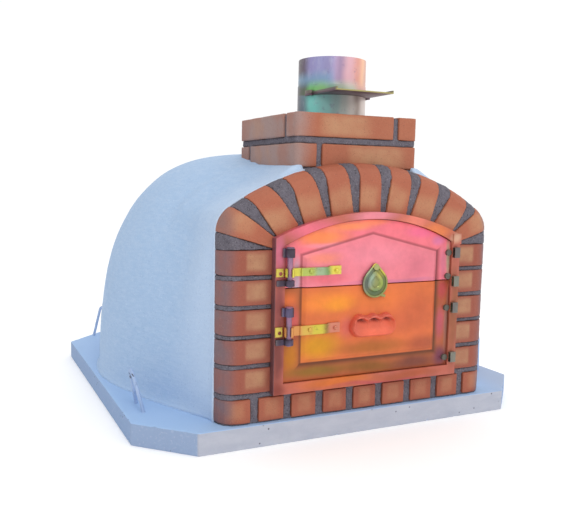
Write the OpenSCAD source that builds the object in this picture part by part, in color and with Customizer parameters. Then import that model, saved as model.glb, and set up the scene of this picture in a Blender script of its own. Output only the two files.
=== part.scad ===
// Wood fired pizza oven with brick front, rendered dome, brick chimney base,
// steel flue with a pull-out damper and a two-leaf cast door.
// Millimetres, +Z up, +Y to the back. Origin: centre of the underside of the slab.

/* [Base slab] */
// Width and depth of the square base slab
slab_w = 1000; // [990:1:1060]
// Thickness of the base slab
slab_t = 48; // [44:1:80]
// Cut-off at each corner of the slab, along each edge
slab_cut = 110; // [60:1:125]
// Diameter of the bar the lifting loops are bent from
loop_d = 8; // [5:0.5:10]

/* [Dome] */
// Outer radius of the rendered dome at the slab
dome_r = 478; // [470:1:484]
// Height of the rendered dome above the slab
dome_h = 572; // [562:1:590]
// Thickness of the render coat
render_t = 18; // [12:1:22]
// Thickness of the cast refractory wall
cast_t = 47; // [40:1:52]
// Inside radius of the oven chamber
chamber_r = 365; // [350:1:372]
// Inside height of the oven chamber above the slab
chamber_h = 455; // [448:1:462]
// Thickness of the insulating bed under the hearth
bed_t = 28; // [15:1:35]
// Top of the hearth tiles above the slab
hearth_z = 60; // [48:1:60]

/* [Brick front] */
// Half width of the brick front
front_hw = 341; // [336:1:346]
// Depth of the brick front
front_depth = 56; // [50:1:60]
// Height of the brick courses
brick_h = 51; // [46:1:54]
// Distance from one course to the next
course_pitch = 61.1; // [57:0.1:61.5]
// Radius of the rounded outer edge of the bricks
nose_r = 42; // [20:1:46]
// Depth of the joints below the brick faces
joint_depth = 4; // [1:0.5:8]

/* [Chimney base] */
// Width of the brick chimney base
chimney_w = 312; // [304:1:330]
// Depth of the brick chimney base
chimney_d = 316; // [312:1:330]
// Thickness of the chimney bricks
chimney_brick_t = 51; // [44:1:51]

/* [Flue] */
// Outside diameter of the flue pipe
flue_d = 160; // [152:0.5:160]
// Wall thickness of the flue pipe
flue_wall = 1.8; // [1:0.1:3]
// Height of the top of the flue above the slab
flue_top = 782; // [760:1:900]
// Length of the reduced spigot at the top of the flue
spigot_len = 60; // [40:1:70]
// Height of the damper slot above the slab
slot_z = 697; // [680:1:700]

/* [Damper] */
// Thickness of the damper sheet
damper_t = 2.5; // [1.5:0.1:3]
// Width of the damper sheet
damper_w = 144; // [120:1:146]
// How far the damper is pulled out as drawn
damper_out = 50; // [20:1:60]

/* [Door] */
// Half width of the door frame
frame_hw = 233; // [231:0.5:236]
// Width of the face of the door frame
frame_face = 22; // [20:0.5:23]
// How far the door frame stands in front of the bricks
frame_proud = 18; // [16:0.5:20]
// Gap around the edges of the door leaves
leaf_gap = 1.5; // [1:0.1:2]
// Thickness of the door leaves
leaf_t = 8; // [6:0.5:8]
// Height of the split between the two leaves above the slab
split_z = 282.8; // [280:0.1:285]
// Diameter of the hinge pins
pin_d = 12; // [10:0.5:13]

/* [Hidden] */
$fn = 72;
e = 0.02;
dome_n = 3.28;
dome_m = 2.5;
y_front = -490;
y_back = y_front + front_depth;
spring_z = 395;
rise = 149;
haunch_r = 62;
flare = 80;
backing_t = 6;
backing_in = 12;
first_course = 65.7;
n_course = 5;
brick_w = 53;
bottom_z = 3;
bottom_h = 50;
bottom_w = 57;
bottom_pitch = 76;
open_hw = 229;
open_z0 = 61;
open_zs = 383;
open_za = 435.5;
vest_hw = 210;
vest_spring = 330;
vest_rise = 85;
vest_r = 50;
flue_y = -303;
flue_r = flue_d / 2;
flue_ir = flue_r - flue_wall;
flue_z0 = 440;
spigot_in = 1;
chim_y0 = y_back;
chim_y1 = chim_y0 + chimney_d;
chim_hw = chimney_w / 2;
chim_joint = 14;
chim_z1 = 532;
chim_z2 = 598;
chim_top = chim_z2 + brick_h;
slot_h = 9;
slot_hw = damper_w / 2 + 0.6;
guide_reach = flue_r + 1;
guide_lip = 1.5;
guide_front = 42;
guide_len = 22;
damper_z = slot_z + 0.5;
damper_front = 153;
flange_h = 7;
frame_z0 = 61;
frame_zs = 386;
frame_za = 439;
frame_y = y_front - frame_proud;
in_hw = frame_hw - frame_face;
in_z0 = frame_z0 + 22.5;
in_zs = 371.5;
in_za = 424;
leaf_y = frame_y + 5;
leaf_hw = in_hw - leaf_gap;
leaf_z0 = in_z0 + leaf_gap;
leaf_zs = in_zs - leaf_gap;
leaf_za = in_za - leaf_gap;
panel_hw = 170.5;
panel_t = 6;
panel_y = leaf_y - panel_t;
pin_x = -204;
pin_y = frame_y - 8;
pin_r = pin_d / 2;
eye_r = 10;
bore_r = pin_r + 0.08;
upper_pin_z = 289;
lower_pin_z = 167;
pin_len = 77;
lug_h = 12;
top_lug_h = 18;
long_arm = 27;
short_arm = 14;
strap_t = 4;
strap_y = panel_y - strap_t;
strap_back_y = pin_y + eye_r - strap_t;
strap_step_x = -172;
eye_gap = 5;
eye_turn = -25;
plate_x = [-232, -216];
upper_strap_z = 308;
lower_strap_z = 184;
upper_strap_h = 17;
lower_strap_h = 20;
strap_x1 = -82;
latch_x = 3;
latch_z = 321;
latch_t = 4;
grip_x = 0.5;
grip_z = 194.5;
grip_w = 115;
grip_h = 51;
grip_t = 16;
latch_y = panel_y - 2;
hook_x = 458;
hook_y = 298;
back_hook_x = 386;
back_hook_y = 450;
hook_half = 33.5;
hook_bend = 11;
hook_taper = 16;
hook_lean = 13;
hook_embed = 36;
keeper_z = [334, 268, 207, 91];

// ---- shared shapes -------------------------------------------------------

// Radius of the large middle arc of a three-centred arch.
function crown(a, b, r) = (pow(a - r, 2) + b * b - r * r) / (2 * (b - r));

// Outline of a three-centred arch standing on the line z = 0.
// a: half width, s: spring height, b: rise, r: haunch radius, foot: half width at the base
function arch_points(a, s, b, r, foot, n = 6) =
    let (c = crown(a, b, r), t = asin((a - r) / (c - r)))
    concat(
        [[-foot, 0], [foot, 0]],
        [for (i = [0 : n]) let (q = (90 - t) * i / n)
            [a - r + r * cos(q), s + r * sin(q)]],
        [for (i = [1 : 2 * n - 1]) let (q = 90 - t + t * i / n)
            [c * cos(q), s + b - c + c * sin(q)]],
        [for (i = [0 : n]) let (q = 90 + t + (90 - t) * i / n)
            [-(a - r) + r * cos(q), s + r * sin(q)]]);

// A plate of the given outline standing upright, from depth y to y + d.
module upright(y, d) {
    translate([0, y + d, 0])
        rotate([90, 0, 0])
            linear_extrude(d)
                children();
}

module arch_plate(y, d, a, s, b, r, foot) {
    upright(y, d)
        polygon(arch_points(a, s, b, r, foot));
}

// Solid dome of revolution, radius r0 at the slab and height h0.
module dome(r0, h0, n = 16) {
    rotate_extrude()
        polygon(concat([[0, 0]],
            [for (i = [0 : n]) let (q = 90 * i / n)
                [r0 * pow(cos(q), 2 / dome_n), h0 * pow(sin(q), 2 / dome_m)]]));
}

// Outer body of dome and front barrel, drawn in by the given amount.
module oven_body(inset) {
    intersection() {
        dome(dome_r - inset, dome_h - inset);
        translate([-dome_r - 5, y_back, -5])
            cube([2 * dome_r + 10, 2 * dome_r, dome_h + 10]);
    }
    hull() {
        arch_plate(y_back, 1, front_hw - inset, spring_z, rise - inset,
            haunch_r - inset, front_hw - inset);
        arch_plate(-221, 1, front_hw - inset, spring_z, rise - inset,
            haunch_r - inset, front_hw + flare - inset);
    }
}

// Body enclosed by the refractory wall, grown outwards by the given amount.
module chamber_body(grow, y0) {
    dome(chamber_r + grow, chamber_h + grow);
    arch_plate(y0, -200 - y0, vest_hw + grow, vest_spring, vest_rise + grow,
        vest_r + grow, vest_hw + grow);
}

// Upright door outline with a shallow arched top.
module door_outline(hw, z0, zs, za) {
    rt = (hw * hw + pow(za - zs, 2)) / (2 * (za - zs));
    intersection() {
        translate([-hw, z0])
            square([2 * hw, za - z0]);
        translate([0, za - rt])
            circle(rt, $fn = 160);
    }
}

module chimney_box(z0, z1, grow = 0) {
    translate([-chim_hw - grow, chim_y0 - grow, z0])
        cube([chimney_w + 2 * grow, chimney_d + 2 * grow, z1 - z0]);
}

module on_slab() {
    translate([0, 0, slab_t])
        children();
}

module cyl(x, y, z0, r, h) {
    translate([x, y, z0])
        cylinder(r = r, h = h);
}

// Round bar or disc lying along Y.
module cyl_y(x, y, z, r, h) {
    translate([x, y, z])
        rotate([-90, 0, 0])
            cylinder(r = r, h = h);
}

// ---- base ----------------------------------------------------------------

// One leg of a lifting loop, long enough to be cast into the slab.
module loop_leg(side) {
    up = loop_centre() + hook_bend * sin(hook_taper);
    translate([0, side * hook_bend * cos(hook_taper), up])
        rotate([side * hook_taper, 0, 0])
            translate([0, 0, -up / cos(hook_taper) - hook_embed])
                cylinder(d = loop_d, h = up / cos(hook_taper) + hook_embed + 1.5);
}

function loop_centre() =
    (hook_half - hook_bend * cos(hook_taper)) / tan(hook_taper)
    - hook_bend * sin(hook_taper);

module loop_legs() {
    for (side = [-1, 1])
        loop_leg(side);
}

module loop_bend() {
    translate([0, 0, loop_centre()])
        rotate([0, 90, 0])
            rotate([0, 0, 90 + hook_taper])
                rotate_extrude(angle = 180 - 2 * hook_taper)
                    translate([hook_bend, 0])
                        circle(d = loop_d + 0.6);
}

// Two loops stand on the side strips near the front, two on the back strip.
module at_loops() {
    for (sx = [-1, 1]) {
        translate([sx * hook_x, -hook_y, 0])
            rotate([0, sx * hook_lean, 0])
                children();
        translate([sx * back_hook_x, back_hook_y, 0])
            rotate([-hook_lean, 0, 0])
                rotate([0, 0, 90])
                    children();
    }
}

module slab_plan() {
    h = slab_w / 2;
    c = slab_cut;
    polygon([[-h + c, -h], [h - c, -h], [h, -h + c], [h, h - c],
        [h - c, h], [-h + c, h], [-h, h - c], [-h, -h + c]]);
}

module base_slab() {
    color([0.70, 0.76, 0.86])
        difference() {
            linear_extrude(slab_t)
                slab_plan();
            on_slab()
                at_loops()
                    loop_legs();
        }
}

module lifting_loops() {
    color([0.62, 0.70, 0.84])
        on_slab()
            at_loops() {
                loop_legs();
                loop_bend();
            }
}

// ---- hearth --------------------------------------------------------------

module hearth_plan(clear) {
    circle(chamber_r - 4 - clear);
    translate([-vest_hw + 2 + clear, y_back])
        square([2 * (vest_hw - 2 - clear), 220]);
}

module hearth_insulation() {
    color([0.80, 0.78, 0.70])
        on_slab()
            linear_extrude(bed_t)
                hearth_plan(0);
}

module hearth_tiles() {
    tx = 150;
    ty = 130;
    gap = 1;
    color([0.82, 0.70, 0.52])
        on_slab()
            translate([0, 0, bed_t])
                linear_extrude(hearth_z - bed_t)
                    intersection() {
                        hearth_plan(0);
                        for (i = [-3 : 2])
                            for (j = [-4 : 2])
                                translate([i * tx + gap / 2, j * ty + gap / 2 + 80])
                                    square([tx - gap, ty - gap]);
                    }
}

// ---- dome layers ---------------------------------------------------------

module refractory_dome() {
    color([0.74, 0.70, 0.64])
        on_slab()
            difference() {
                chamber_body(cast_t, y_back);
                translate([0, 0, -e])
                    chamber_body(0, y_back - 1);
                cyl(0, flue_y, 300, flue_ir, 300);
                cyl(0, flue_y, flue_z0, flue_r, 200);
            }
}

module insulation_layer() {
    color([0.86, 0.84, 0.76])
        on_slab()
            difference() {
                oven_body(render_t);
                chamber_body(cast_t, y_back - 1);
                chimney_box(380, 700);
            }
}

module render_shell() {
    color([0.66, 0.76, 0.88])
        on_slab()
            difference() {
                oven_body(0);
                oven_body(render_t);
                chimney_box(380, 700);
            }
}

// ---- brick front ---------------------------------------------------------

// Envelope of the brick front with its rounded outer edge.
module front_envelope() {
    hull() {
        arch_plate(y_back - 1, 1, front_hw, spring_z, rise, haunch_r, front_hw);
        for (q = [0 : 22.5 : 90]) {
            in = nose_r * (1 - cos(q));
            arch_plate(y_front + nose_r * (1 - sin(q)), 0.01, front_hw - in,
                spring_z, rise - in, haunch_r - in, front_hw - in);
        }
    }
}

module front_opening() {
    upright(y_front - 1, front_depth + 2)
        door_outline(open_hw, open_z0, open_zs, open_za);
}

module brick_block(x0, x1, z0, z1) {
    translate([x0, y_front - 1, z0])
        cube([x1 - x0, front_depth + 1, z1 - z0]);
}

module bottom_course_blanks() {
    for (i = [-4 : 4]) {
        x0 = i == -4 ? -front_hw - 1 : i * bottom_pitch - bottom_w / 2;
        x1 = i == 4 ? front_hw + 1 : i * bottom_pitch + bottom_w / 2;
        brick_block(x0, x1, bottom_z, bottom_z + bottom_h);
    }
}

module pillar_blanks(side) {
    x0 = side < 0 ? -front_hw - 1 : open_hw;
    for (i = [0 : n_course - 1])
        brick_block(x0, x0 + front_hw + 1 - open_hw,
            first_course + i * course_pitch,
            first_course + i * course_pitch + brick_h);
}

// Straight arch bricks: offset from the centre, height of the inner end, lean.
arch_lay = [[0, 430, 0], [67, 427, 9.5], [131, 415, 20], [194, 396, 36.5]];

module arch_blank(p, side) {
    translate([side * p[0], y_front - 1, p[1]])
        rotate([0, side * p[2], 0])
            translate([-brick_w / 2, 0, 0])
                cube([brick_w, front_depth + 1, 150]);
}

module arch_blanks() {
    arch_blank(arch_lay[0], 1);
    for (side = [-1, 1]) {
        for (i = [1 : 3])
            arch_blank(arch_lay[i], side);
        upright(y_front - 1, front_depth + 1)
            polygon([[side * 227, 363.5], [side * 228, 388],
                [side * 330, 462], [side * 362, 404]]);
    }
}

// Mortar bed behind the bricks, kept back from their outer edge.
module front_backing() {
    in = backing_in;
    arch_plate(y_back - backing_t, backing_t, front_hw - in, spring_z,
        rise - in, haunch_r - in, front_hw - in);
}

module cut_bricks() {
    intersection() {
        difference() {
            union()
                children();
            front_opening();
            front_backing();
        }
        front_envelope();
    }
}

module bottom_course_bricks() {
    color([0.76, 0.47, 0.33])
        on_slab()
            cut_bricks()
                bottom_course_blanks();
}

module left_pillar_bricks() {
    color([0.74, 0.44, 0.31])
        on_slab()
            cut_bricks()
                pillar_blanks(-1);
}

module right_pillar_bricks() {
    color([0.74, 0.44, 0.31])
        on_slab()
            cut_bricks()
                pillar_blanks(1);
}

module arch_bricks() {
    color([0.78, 0.48, 0.33])
        on_slab()
            cut_bricks()
                arch_blanks();
}

module anchor_bars() {
    for (side = [-1, 1])
        for (i = [0, 3]) {
            z = first_course + (i + 1) * course_pitch - 6.5;
            translate([side < 0 ? -open_hw - 40 : open_hw - 4, y_front + 22, z])
                cube([44, 22, 3]);
        }
}

module front_mortar() {
    color([0.44, 0.42, 0.43])
        on_slab()
            difference() {
                front_envelope();
                translate([-400, y_front - 1, -1])
                    cube([800, 1 + joint_depth, 600]);
                front_opening();
                difference() {
                    union() {
                        bottom_course_blanks();
                        pillar_blanks(-1);
                        pillar_blanks(1);
                        arch_blanks();
                    }
                    front_backing();
                }
                anchor_bars();
            }
}

// ---- chimney base --------------------------------------------------------

// Four bricks round a square, each running past the end of the next.
module brick_ring(z, hand) {
    t = chimney_brick_t;
    j = chim_joint;
    translate([0, (chim_y0 + chim_y1) / 2, z])
        mirror([hand < 0 ? 1 : 0, 0, 0]) {
            for (turn = [0, 180])
                rotate([0, 0, turn]) {
                    translate([-chim_hw, -chimney_d / 2, 0])
                        cube([chimney_w - t - j, t, brick_h]);
                    translate([-chim_hw, -chimney_d / 2 + t + j, 0])
                        cube([t, chimney_d - t - j, brick_h]);
                }
        }
}

module chimney_corners() {
    translate([0, (chim_y0 + chim_y1) / 2, 0])
        for (sx = [-1, 1])
            for (sy = [-1, 1])
                scale([sx, sy, 1])
                    translate([chim_hw, chimney_d / 2, 0])
                        difference() {
                            translate([-12, -12, 300])
                                cube([13, 13, 400]);
                            cyl(-12, -12, 299, 12, 402);
                        }
}

module chimney_lower_bricks() {
    color([0.76, 0.46, 0.32])
        on_slab()
            difference() {
                brick_ring(chim_z1, -1);
                chimney_corners();
                cyl(0, flue_y, 400, flue_r, 300);
            }
}

module chimney_upper_bricks() {
    color([0.76, 0.46, 0.32])
        on_slab()
            difference() {
                brick_ring(chim_z2, 1);
                chimney_corners();
                cyl(0, flue_y, 400, flue_r, 300);
            }
}

module chimney_mortar() {
    color([0.44, 0.42, 0.43])
        on_slab()
            difference() {
                union() {
                    intersection() {
                        chimney_box(380, chim_z1);
                        oven_body(0);
                    }
                    chimney_box(chim_z1 - chim_joint, chim_top - 2, -joint_depth);
                }
                chamber_body(cast_t, y_back - 1);
                brick_ring(chim_z1, -1);
                brick_ring(chim_z2, 1);
                cyl(0, flue_y, 400, flue_r, 300);
            }
}

// ---- flue and damper -----------------------------------------------------

module flue_pipe() {
    color([0.66, 0.62, 0.66])
        on_slab()
            difference() {
                union() {
                    cyl(0, flue_y, flue_z0, flue_r, flue_top - spigot_len - flue_z0);
                    cyl(0, flue_y, flue_z0, flue_r - spigot_in, flue_top - flue_z0);
                }
                cyl(0, flue_y, flue_z0 - 1, flue_ir,
                    flue_top - spigot_len - flue_wall - flue_z0 + 1);
                cyl(0, flue_y, flue_z0, flue_ir - spigot_in, flue_top - flue_z0 + 1);
                translate([-slot_hw, flue_y - flue_r - 5, slot_z])
                    cube([2 * slot_hw, flue_r - 24, slot_h]);
            }
}

module damper_guides() {
    color([0.55, 0.52, 0.58])
        on_slab()
            difference() {
                for (side = [-1, 1])
                    translate([side < 0 ? -guide_reach : slot_hw,
                        flue_y - guide_front, slot_z - guide_lip])
                        cube([guide_reach - slot_hw, guide_len, slot_h + 2 * guide_lip]);
                cyl(0, flue_y, slot_z - 10, flue_r, 40);
            }
}

module damper_plate() {
    hw = damper_w / 2;
    color([0.50, 0.44, 0.50])
        on_slab()
            translate([0, flue_y, damper_z]) {
                linear_extrude(damper_t) {
                    translate([-hw, -damper_front])
                        square([damper_w, damper_front - damper_out]);
                    intersection() {
                        translate([0, -damper_out])
                            circle(flue_ir - 2);
                        translate([-hw, -damper_out - e])
                            square([damper_w, 100]);
                    }
                }
                for (side = [-1, 1])
                    translate([side < 0 ? -hw : hw - 2, -damper_front, 0])
                        cube([2, damper_front - damper_out + 26, flange_h]);
            }
}

// ---- door frame ----------------------------------------------------------

module ring(y, d, o, i) {
    upright(y, d)
        difference() {
            door_outline(o[0], o[1], o[2], o[3]);
            door_outline(i[0], i[1], i[2], i[3]);
        }
}

module door_frame() {
    outer = [frame_hw, frame_z0, frame_zs, frame_za];
    inner = [in_hw, in_z0, in_zs, in_za];
    stop = [in_hw - 11, in_z0 + 11, in_zs - 9, in_za - 11];
    sleeve = [open_hw - 0.5, open_z0 + 0.5, open_zs - 0.5, open_za - 0.5];
    color([0.82, 0.42, 0.42])
        on_slab() {
            ring(frame_y, frame_proud, outer, inner);
            ring(frame_y + 14.5, frame_proud - 14.5 + 5, sleeve, stop);
            ring(y_front, 48, sleeve, inner);
            translate([in_hw + 1, frame_y - 4, frame_zs - 21])
                cube([frame_face - 1, 4 + e, 24]);
        }
}

module frame_anchors() {
    color([0.50, 0.48, 0.48])
        on_slab()
            difference() {
                anchor_bars();
                upright(y_front, 60)
                    door_outline(open_hw - 0.5, open_z0 + 0.5, open_zs - 0.5,
                        open_za - 0.5);
            }
}

// Round eye with an arm back to the frame.
module lug(z0, h, arm) {
    difference() {
        union() {
            cyl(pin_x, pin_y, z0, eye_r, h);
            translate([pin_x - arm, pin_y + 2, z0])
                cube([arm, frame_y - pin_y - 2, h]);
        }
        cyl(pin_x, pin_y, z0 - 1, pin_r, h + 2);
        translate([in_hw * -1, frame_y - 1, z0 - 1])
            cube([40, 10, h + 2]);
    }
}

module hinge_lugs() {
    color([0.48, 0.38, 0.46])
        on_slab() {
            lug(upper_pin_z, lug_h, long_arm);
            lug(upper_pin_z + pin_len - top_lug_h, top_lug_h, short_arm);
            lug(lower_pin_z, lug_h, long_arm);
            lug(lower_pin_z + pin_len - top_lug_h, top_lug_h, short_arm);
        }
}

// Plate fixed to the frame beside a strap, with a round fixing hole.
module hinge_plate(z0, h) {
    w = plate_x[1] - plate_x[0];
    difference() {
        translate([plate_x[0], frame_y - 3, z0])
            cube([w, 3, h]);
        cyl_y(plate_x[0] + w / 2 + 2, frame_y - 4, z0 + h / 2 - 2, 4, 5);
    }
}

module hinge_plates() {
    color([0.76, 0.72, 0.34])
        on_slab() {
            hinge_plate(upper_strap_z, upper_strap_h);
            hinge_plate(lower_strap_z, lower_strap_h);
        }
}

module hinge_pin(z0) {
    cyl(pin_x, pin_y, z0 - 2, pin_r, pin_len + 2);
    cyl(pin_x, pin_y, z0 + pin_len, pin_r + 2.5, 3);
}

module upper_hinge_pin() {
    color([0.45, 0.38, 0.50])
        on_slab()
            hinge_pin(upper_pin_z);
}

module lower_hinge_pin() {
    color([0.45, 0.38, 0.50])
        on_slab()
            hinge_pin(lower_pin_z);
}

// Slotted catch blocks down the right stile.
module door_keepers() {
    color([0.42, 0.36, 0.34])
        on_slab()
            for (z = keeper_z)
                difference() {
                    translate([in_hw + 2, frame_y - 9, z])
                        cube([15, 9, 24]);
                    translate([in_hw + 1, frame_y - 6, z + 5])
                        cube([12, 4, 14]);
                }
}

// ---- door leaves ---------------------------------------------------------

module panel_outline() {
    polygon([[-panel_hw, 122], [panel_hw, 122], [panel_hw, 350], [0, 392],
        [-panel_hw, 350]]);
}

module leaf_band(z0, z1) {
    translate([-300, z0])
        square([600, z1 - z0]);
}

module leaf(z0, z1) {
    upright(leaf_y, leaf_t)
        intersection() {
            door_outline(leaf_hw, leaf_z0, leaf_zs, leaf_za);
            leaf_band(z0, z1);
        }
    upright(panel_y, panel_t + e)
        intersection() {
            panel_outline();
            leaf_band(z0, z1);
        }
}

// Round catch boss on the free edge of a leaf.
module catch_boss(z) {
    cyl_y(leaf_hw - 8, leaf_y - 7, z, 7, 7 + e);
}

module lower_door() {
    color([0.90, 0.54, 0.24])
        on_slab() {
            leaf(0, split_z - 1.2);
            catch_boss(keeper_z[2] + 12);
            catch_boss(keeper_z[3] + 12);
        }
}

module upper_door() {
    color([0.90, 0.46, 0.50])
        on_slab() {
            leaf(split_z + 1.2, 500);
            catch_boss(keeper_z[0] + 12);
            catch_boss(keeper_z[1] + 24);
        }
}

// Flat strap, stepped over the raised panel, with an open eye hooked behind the pin.
module strap(z0, h) {
    difference() {
        union() {
            translate([pin_x, strap_back_y, z0])
                cube([strap_step_x - pin_x, strap_t, h]);
            translate([strap_step_x - strap_t, strap_y, z0])
                cube([strap_t, strap_back_y - strap_y + strap_t, h]);
            translate([strap_step_x - strap_t, strap_y, z0])
                cube([strap_x1 - 28 - strap_step_x + strap_t, strap_t, h]);
            translate([strap_x1 - 29, strap_y, z0 + 1])
                cube([29, strap_t, h + 1]);
            cyl(pin_x, pin_y, z0, eye_r, h);
        }
        cyl(pin_x, pin_y, z0 - 1, bore_r, h + 2);
        translate([pin_x, pin_y, z0 - 1])
            rotate([0, 0, eye_turn])
                translate([-eye_gap, -eye_r - 2, 0])
                    cube([2 * eye_gap, eye_r + 2, h + 2]);
    }
}

module strap_rivets(z) {
    for (x = [strap_x1 - 11, strap_x1 - 72])
        difference() {
            translate([x, strap_y, z])
                sphere(r = 5);
            translate([x - 6, strap_y, z - 6])
                cube([12, 8, 12]);
        }
}

module lower_strap() {
    color([0.78, 0.74, 0.34])
        on_slab()
            strap(lower_strap_z, lower_strap_h);
}

module lower_strap_rivets() {
    color([0.70, 0.68, 0.40])
        on_slab()
            strap_rivets(lower_strap_z + lower_strap_h / 2 + 1);
}

module upper_strap() {
    color([0.78, 0.74, 0.34])
        on_slab()
            strap(upper_strap_z, upper_strap_h);
}

module upper_strap_rivets() {
    color([0.70, 0.68, 0.40])
        on_slab()
            strap_rivets(upper_strap_z + upper_strap_h / 2 + 1);
}

// Cast grip: a pad with rounded ends, three lobes along its top and a finger
// hollow in its face under each lobe.
module finger_grip() {
    pad_r = grip_h / 2 - 2;
    pad_z = grip_z - 2;
    lobe_r = 15;
    color([0.86, 0.52, 0.28])
        on_slab()
            difference() {
                upright(panel_y - grip_t, grip_t) {
                    translate([grip_x, pad_z])
                        square([grip_w - 2 * pad_r, 2 * pad_r], center = true);
                    for (side = [-1, 1])
                        translate([grip_x + side * (grip_w / 2 - pad_r), pad_z])
                            circle(pad_r);
                    for (i = [-1, 0, 1])
                        translate([grip_x + 34 * i, grip_z + grip_h / 2 - lobe_r])
                            circle(lobe_r);
                }
                for (i = [-1, 0, 1])
                    translate([grip_x + 33 * i, panel_y - grip_t - 8, grip_z + 8])
                        sphere(14);
            }
}

// Rivet through the tip of the latch.
module latch_pivot() {
    color([0.66, 0.66, 0.44])
        on_slab() {
            cyl_y(latch_x, latch_y - latch_t - 0.4, latch_z, 4, panel_y - latch_y + latch_t + 0.4);
            cyl_y(latch_x, latch_y - latch_t - 2.9, latch_z, 7, 2.5);
        }
}

// Teardrop plate hanging from its tip, with a small lip at the lower right.
module teardrop_latch() {
    r = 31.5;
    drop = 35.5;
    tip = 7.5;
    q = acos((r - tip) / drop);
    color([0.62, 0.66, 0.44])
        on_slab()
            translate([latch_x, latch_y, latch_z])
                rotate([90, 0, 0])
                    linear_extrude(latch_t)
                        difference() {
                            union() {
                                circle(tip);
                                translate([0, -drop])
                                    circle(r);
                                polygon([[tip * sin(q), tip * cos(q)],
                                    [-tip * sin(q), tip * cos(q)],
                                    [-r * sin(q), -drop + r * cos(q)],
                                    [r * sin(q), -drop + r * cos(q)]]);
                                translate([14, -drop - r])
                                    square([12, 14]);
                            }
                            circle(4.08);
                        }
}

// ---- output --------------------------------------------------------------

base_slab();
lifting_loops();
hearth_insulation();
hearth_tiles();
refractory_dome();
insulation_layer();
render_shell();
bottom_course_bricks();
left_pillar_bricks();
right_pillar_bricks();
arch_bricks();
front_mortar();
chimney_lower_bricks();
chimney_upper_bricks();
chimney_mortar();
flue_pipe();
damper_guides();
damper_plate();
door_frame();
frame_anchors();
hinge_lugs();
hinge_plates();
upper_hinge_pin();
lower_hinge_pin();
door_keepers();
lower_door();
lower_strap();
lower_strap_rivets();
finger_grip();
upper_door();
upper_strap();
upper_strap_rivets();
latch_pivot();
teardrop_latch();
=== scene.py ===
"""Looks of a wood fired pizza oven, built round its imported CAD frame."""

import math
import random

import bmesh
import bpy
import numpy as np
from mathutils import Matrix, Vector, noise


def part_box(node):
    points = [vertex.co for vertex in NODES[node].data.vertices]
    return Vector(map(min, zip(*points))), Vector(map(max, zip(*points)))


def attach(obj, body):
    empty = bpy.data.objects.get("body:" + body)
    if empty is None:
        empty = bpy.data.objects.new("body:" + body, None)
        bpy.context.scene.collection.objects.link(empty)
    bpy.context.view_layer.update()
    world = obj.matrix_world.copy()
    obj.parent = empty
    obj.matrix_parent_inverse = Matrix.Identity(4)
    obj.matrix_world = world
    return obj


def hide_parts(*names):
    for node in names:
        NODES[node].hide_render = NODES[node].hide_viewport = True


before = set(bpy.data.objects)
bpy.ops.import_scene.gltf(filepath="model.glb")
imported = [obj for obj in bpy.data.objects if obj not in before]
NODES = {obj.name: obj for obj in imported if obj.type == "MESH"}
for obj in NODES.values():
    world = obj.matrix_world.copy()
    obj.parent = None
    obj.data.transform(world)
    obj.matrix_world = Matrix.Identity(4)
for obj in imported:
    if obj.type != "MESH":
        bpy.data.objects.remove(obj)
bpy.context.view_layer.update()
MM = 0.001
random.seed(11)

# ---- driving sizes, from the frame where it has them ------------------------

SLAB_LO, SLAB_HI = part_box("base_slab")
SHELL_LO, SHELL_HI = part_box("render_shell")
FRONT_LO, FRONT_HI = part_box("front_mortar")
CHIMNEY_LO, CHIMNEY_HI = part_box("chimney_upper_bricks")
FLUE_LO, FLUE_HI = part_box("flue_pipe")
LATCH_LO, LATCH_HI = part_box("teardrop_latch")
GRIP_LO, GRIP_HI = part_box("finger_grip")
PANEL_Y = GRIP_HI.y
FRAME_LO, FRAME_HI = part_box("door_frame")

SLAB_TOP = SLAB_HI.z
SLAB_CUT = 110 * MM
DOME_POWER_OUT = 3.28
DOME_POWER_UP = 2.5
FRONT_HALF = FRONT_HI.x
SPRING = 395 * MM
ARCH_RISE = FRONT_HI.z - SLAB_TOP - SPRING
HAUNCH_R = 62 * MM
FLARE = 80 * MM
FLARE_END_Y = -221 * MM
RENDER_T = 18 * MM
NOSE_R = 42 * MM
COLLAR_T = 2.5 * MM
CHIMNEY_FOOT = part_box("chimney_lower_bricks")[0].z - SLAB_TOP
CHIMNEY_DEEP = CHIMNEY_HI.y - CHIMNEY_LO.y

# ---- sizes of the looks ----------------------------------------------------

SHARP_ANGLE = math.radians(30)
COVE = 30 * MM
FILLET_REACH = 60 * MM
CHIMNEY_INSET = 14 * MM
PANEL_SLOPE = 9 * MM
LATCH_R, LATCH_DROP, LATCH_TIP = 31.5 * MM, 35.5 * MM, 7.5 * MM
FLOOR_HALF = 30
WHITE = 1.03

# the photograph's viewpoint, solved from three sets of parallel edges
CAMERA_PLACE = (-0.827, -1.785, 0.554)
CAMERA_FORWARD = (0.424858, 0.898988, -0.106378)
CAMERA_RIGHT = (0.90482, -0.425371, 0.018956)
CAMERA_LENS = 44.97
CAMERA_SHIFT = 0.0027


# ---- meshes ----------------------------------------------------------------


def add_object(name, mesh):
    """Puts a mesh in the scene as a new object."""
    piece = bpy.data.objects.new(name, mesh)
    bpy.context.scene.collection.objects.link(piece)
    return piece


def mesh_from(name, points, faces):
    mesh = bpy.data.meshes.new(name)
    mesh.from_pydata([tuple(p) for p in points], [], [tuple(f) for f in faces])
    mesh.update()
    return mesh


def finish_piece(piece, body, slot, material, *nodes):
    """Gives a piece its finish and body, and lets it stand for its CAD nodes."""
    piece.data.materials.clear()
    piece.data.materials.append(material)
    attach(piece, body)
    if nodes:
        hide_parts(*nodes)
    return piece


def smooth_by_angle(mesh, degrees=35):
    """Smooth shading, but for edges sharper than this."""
    mesh.shade_smooth()
    bm = bmesh.new()
    bm.from_mesh(mesh)
    limit = math.radians(degrees)
    for edge in bm.edges:
        edge.smooth = len(edge.link_faces) != 2 or edge.calc_face_angle(0) < limit
    bm.to_mesh(mesh)
    bm.free()


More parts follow.
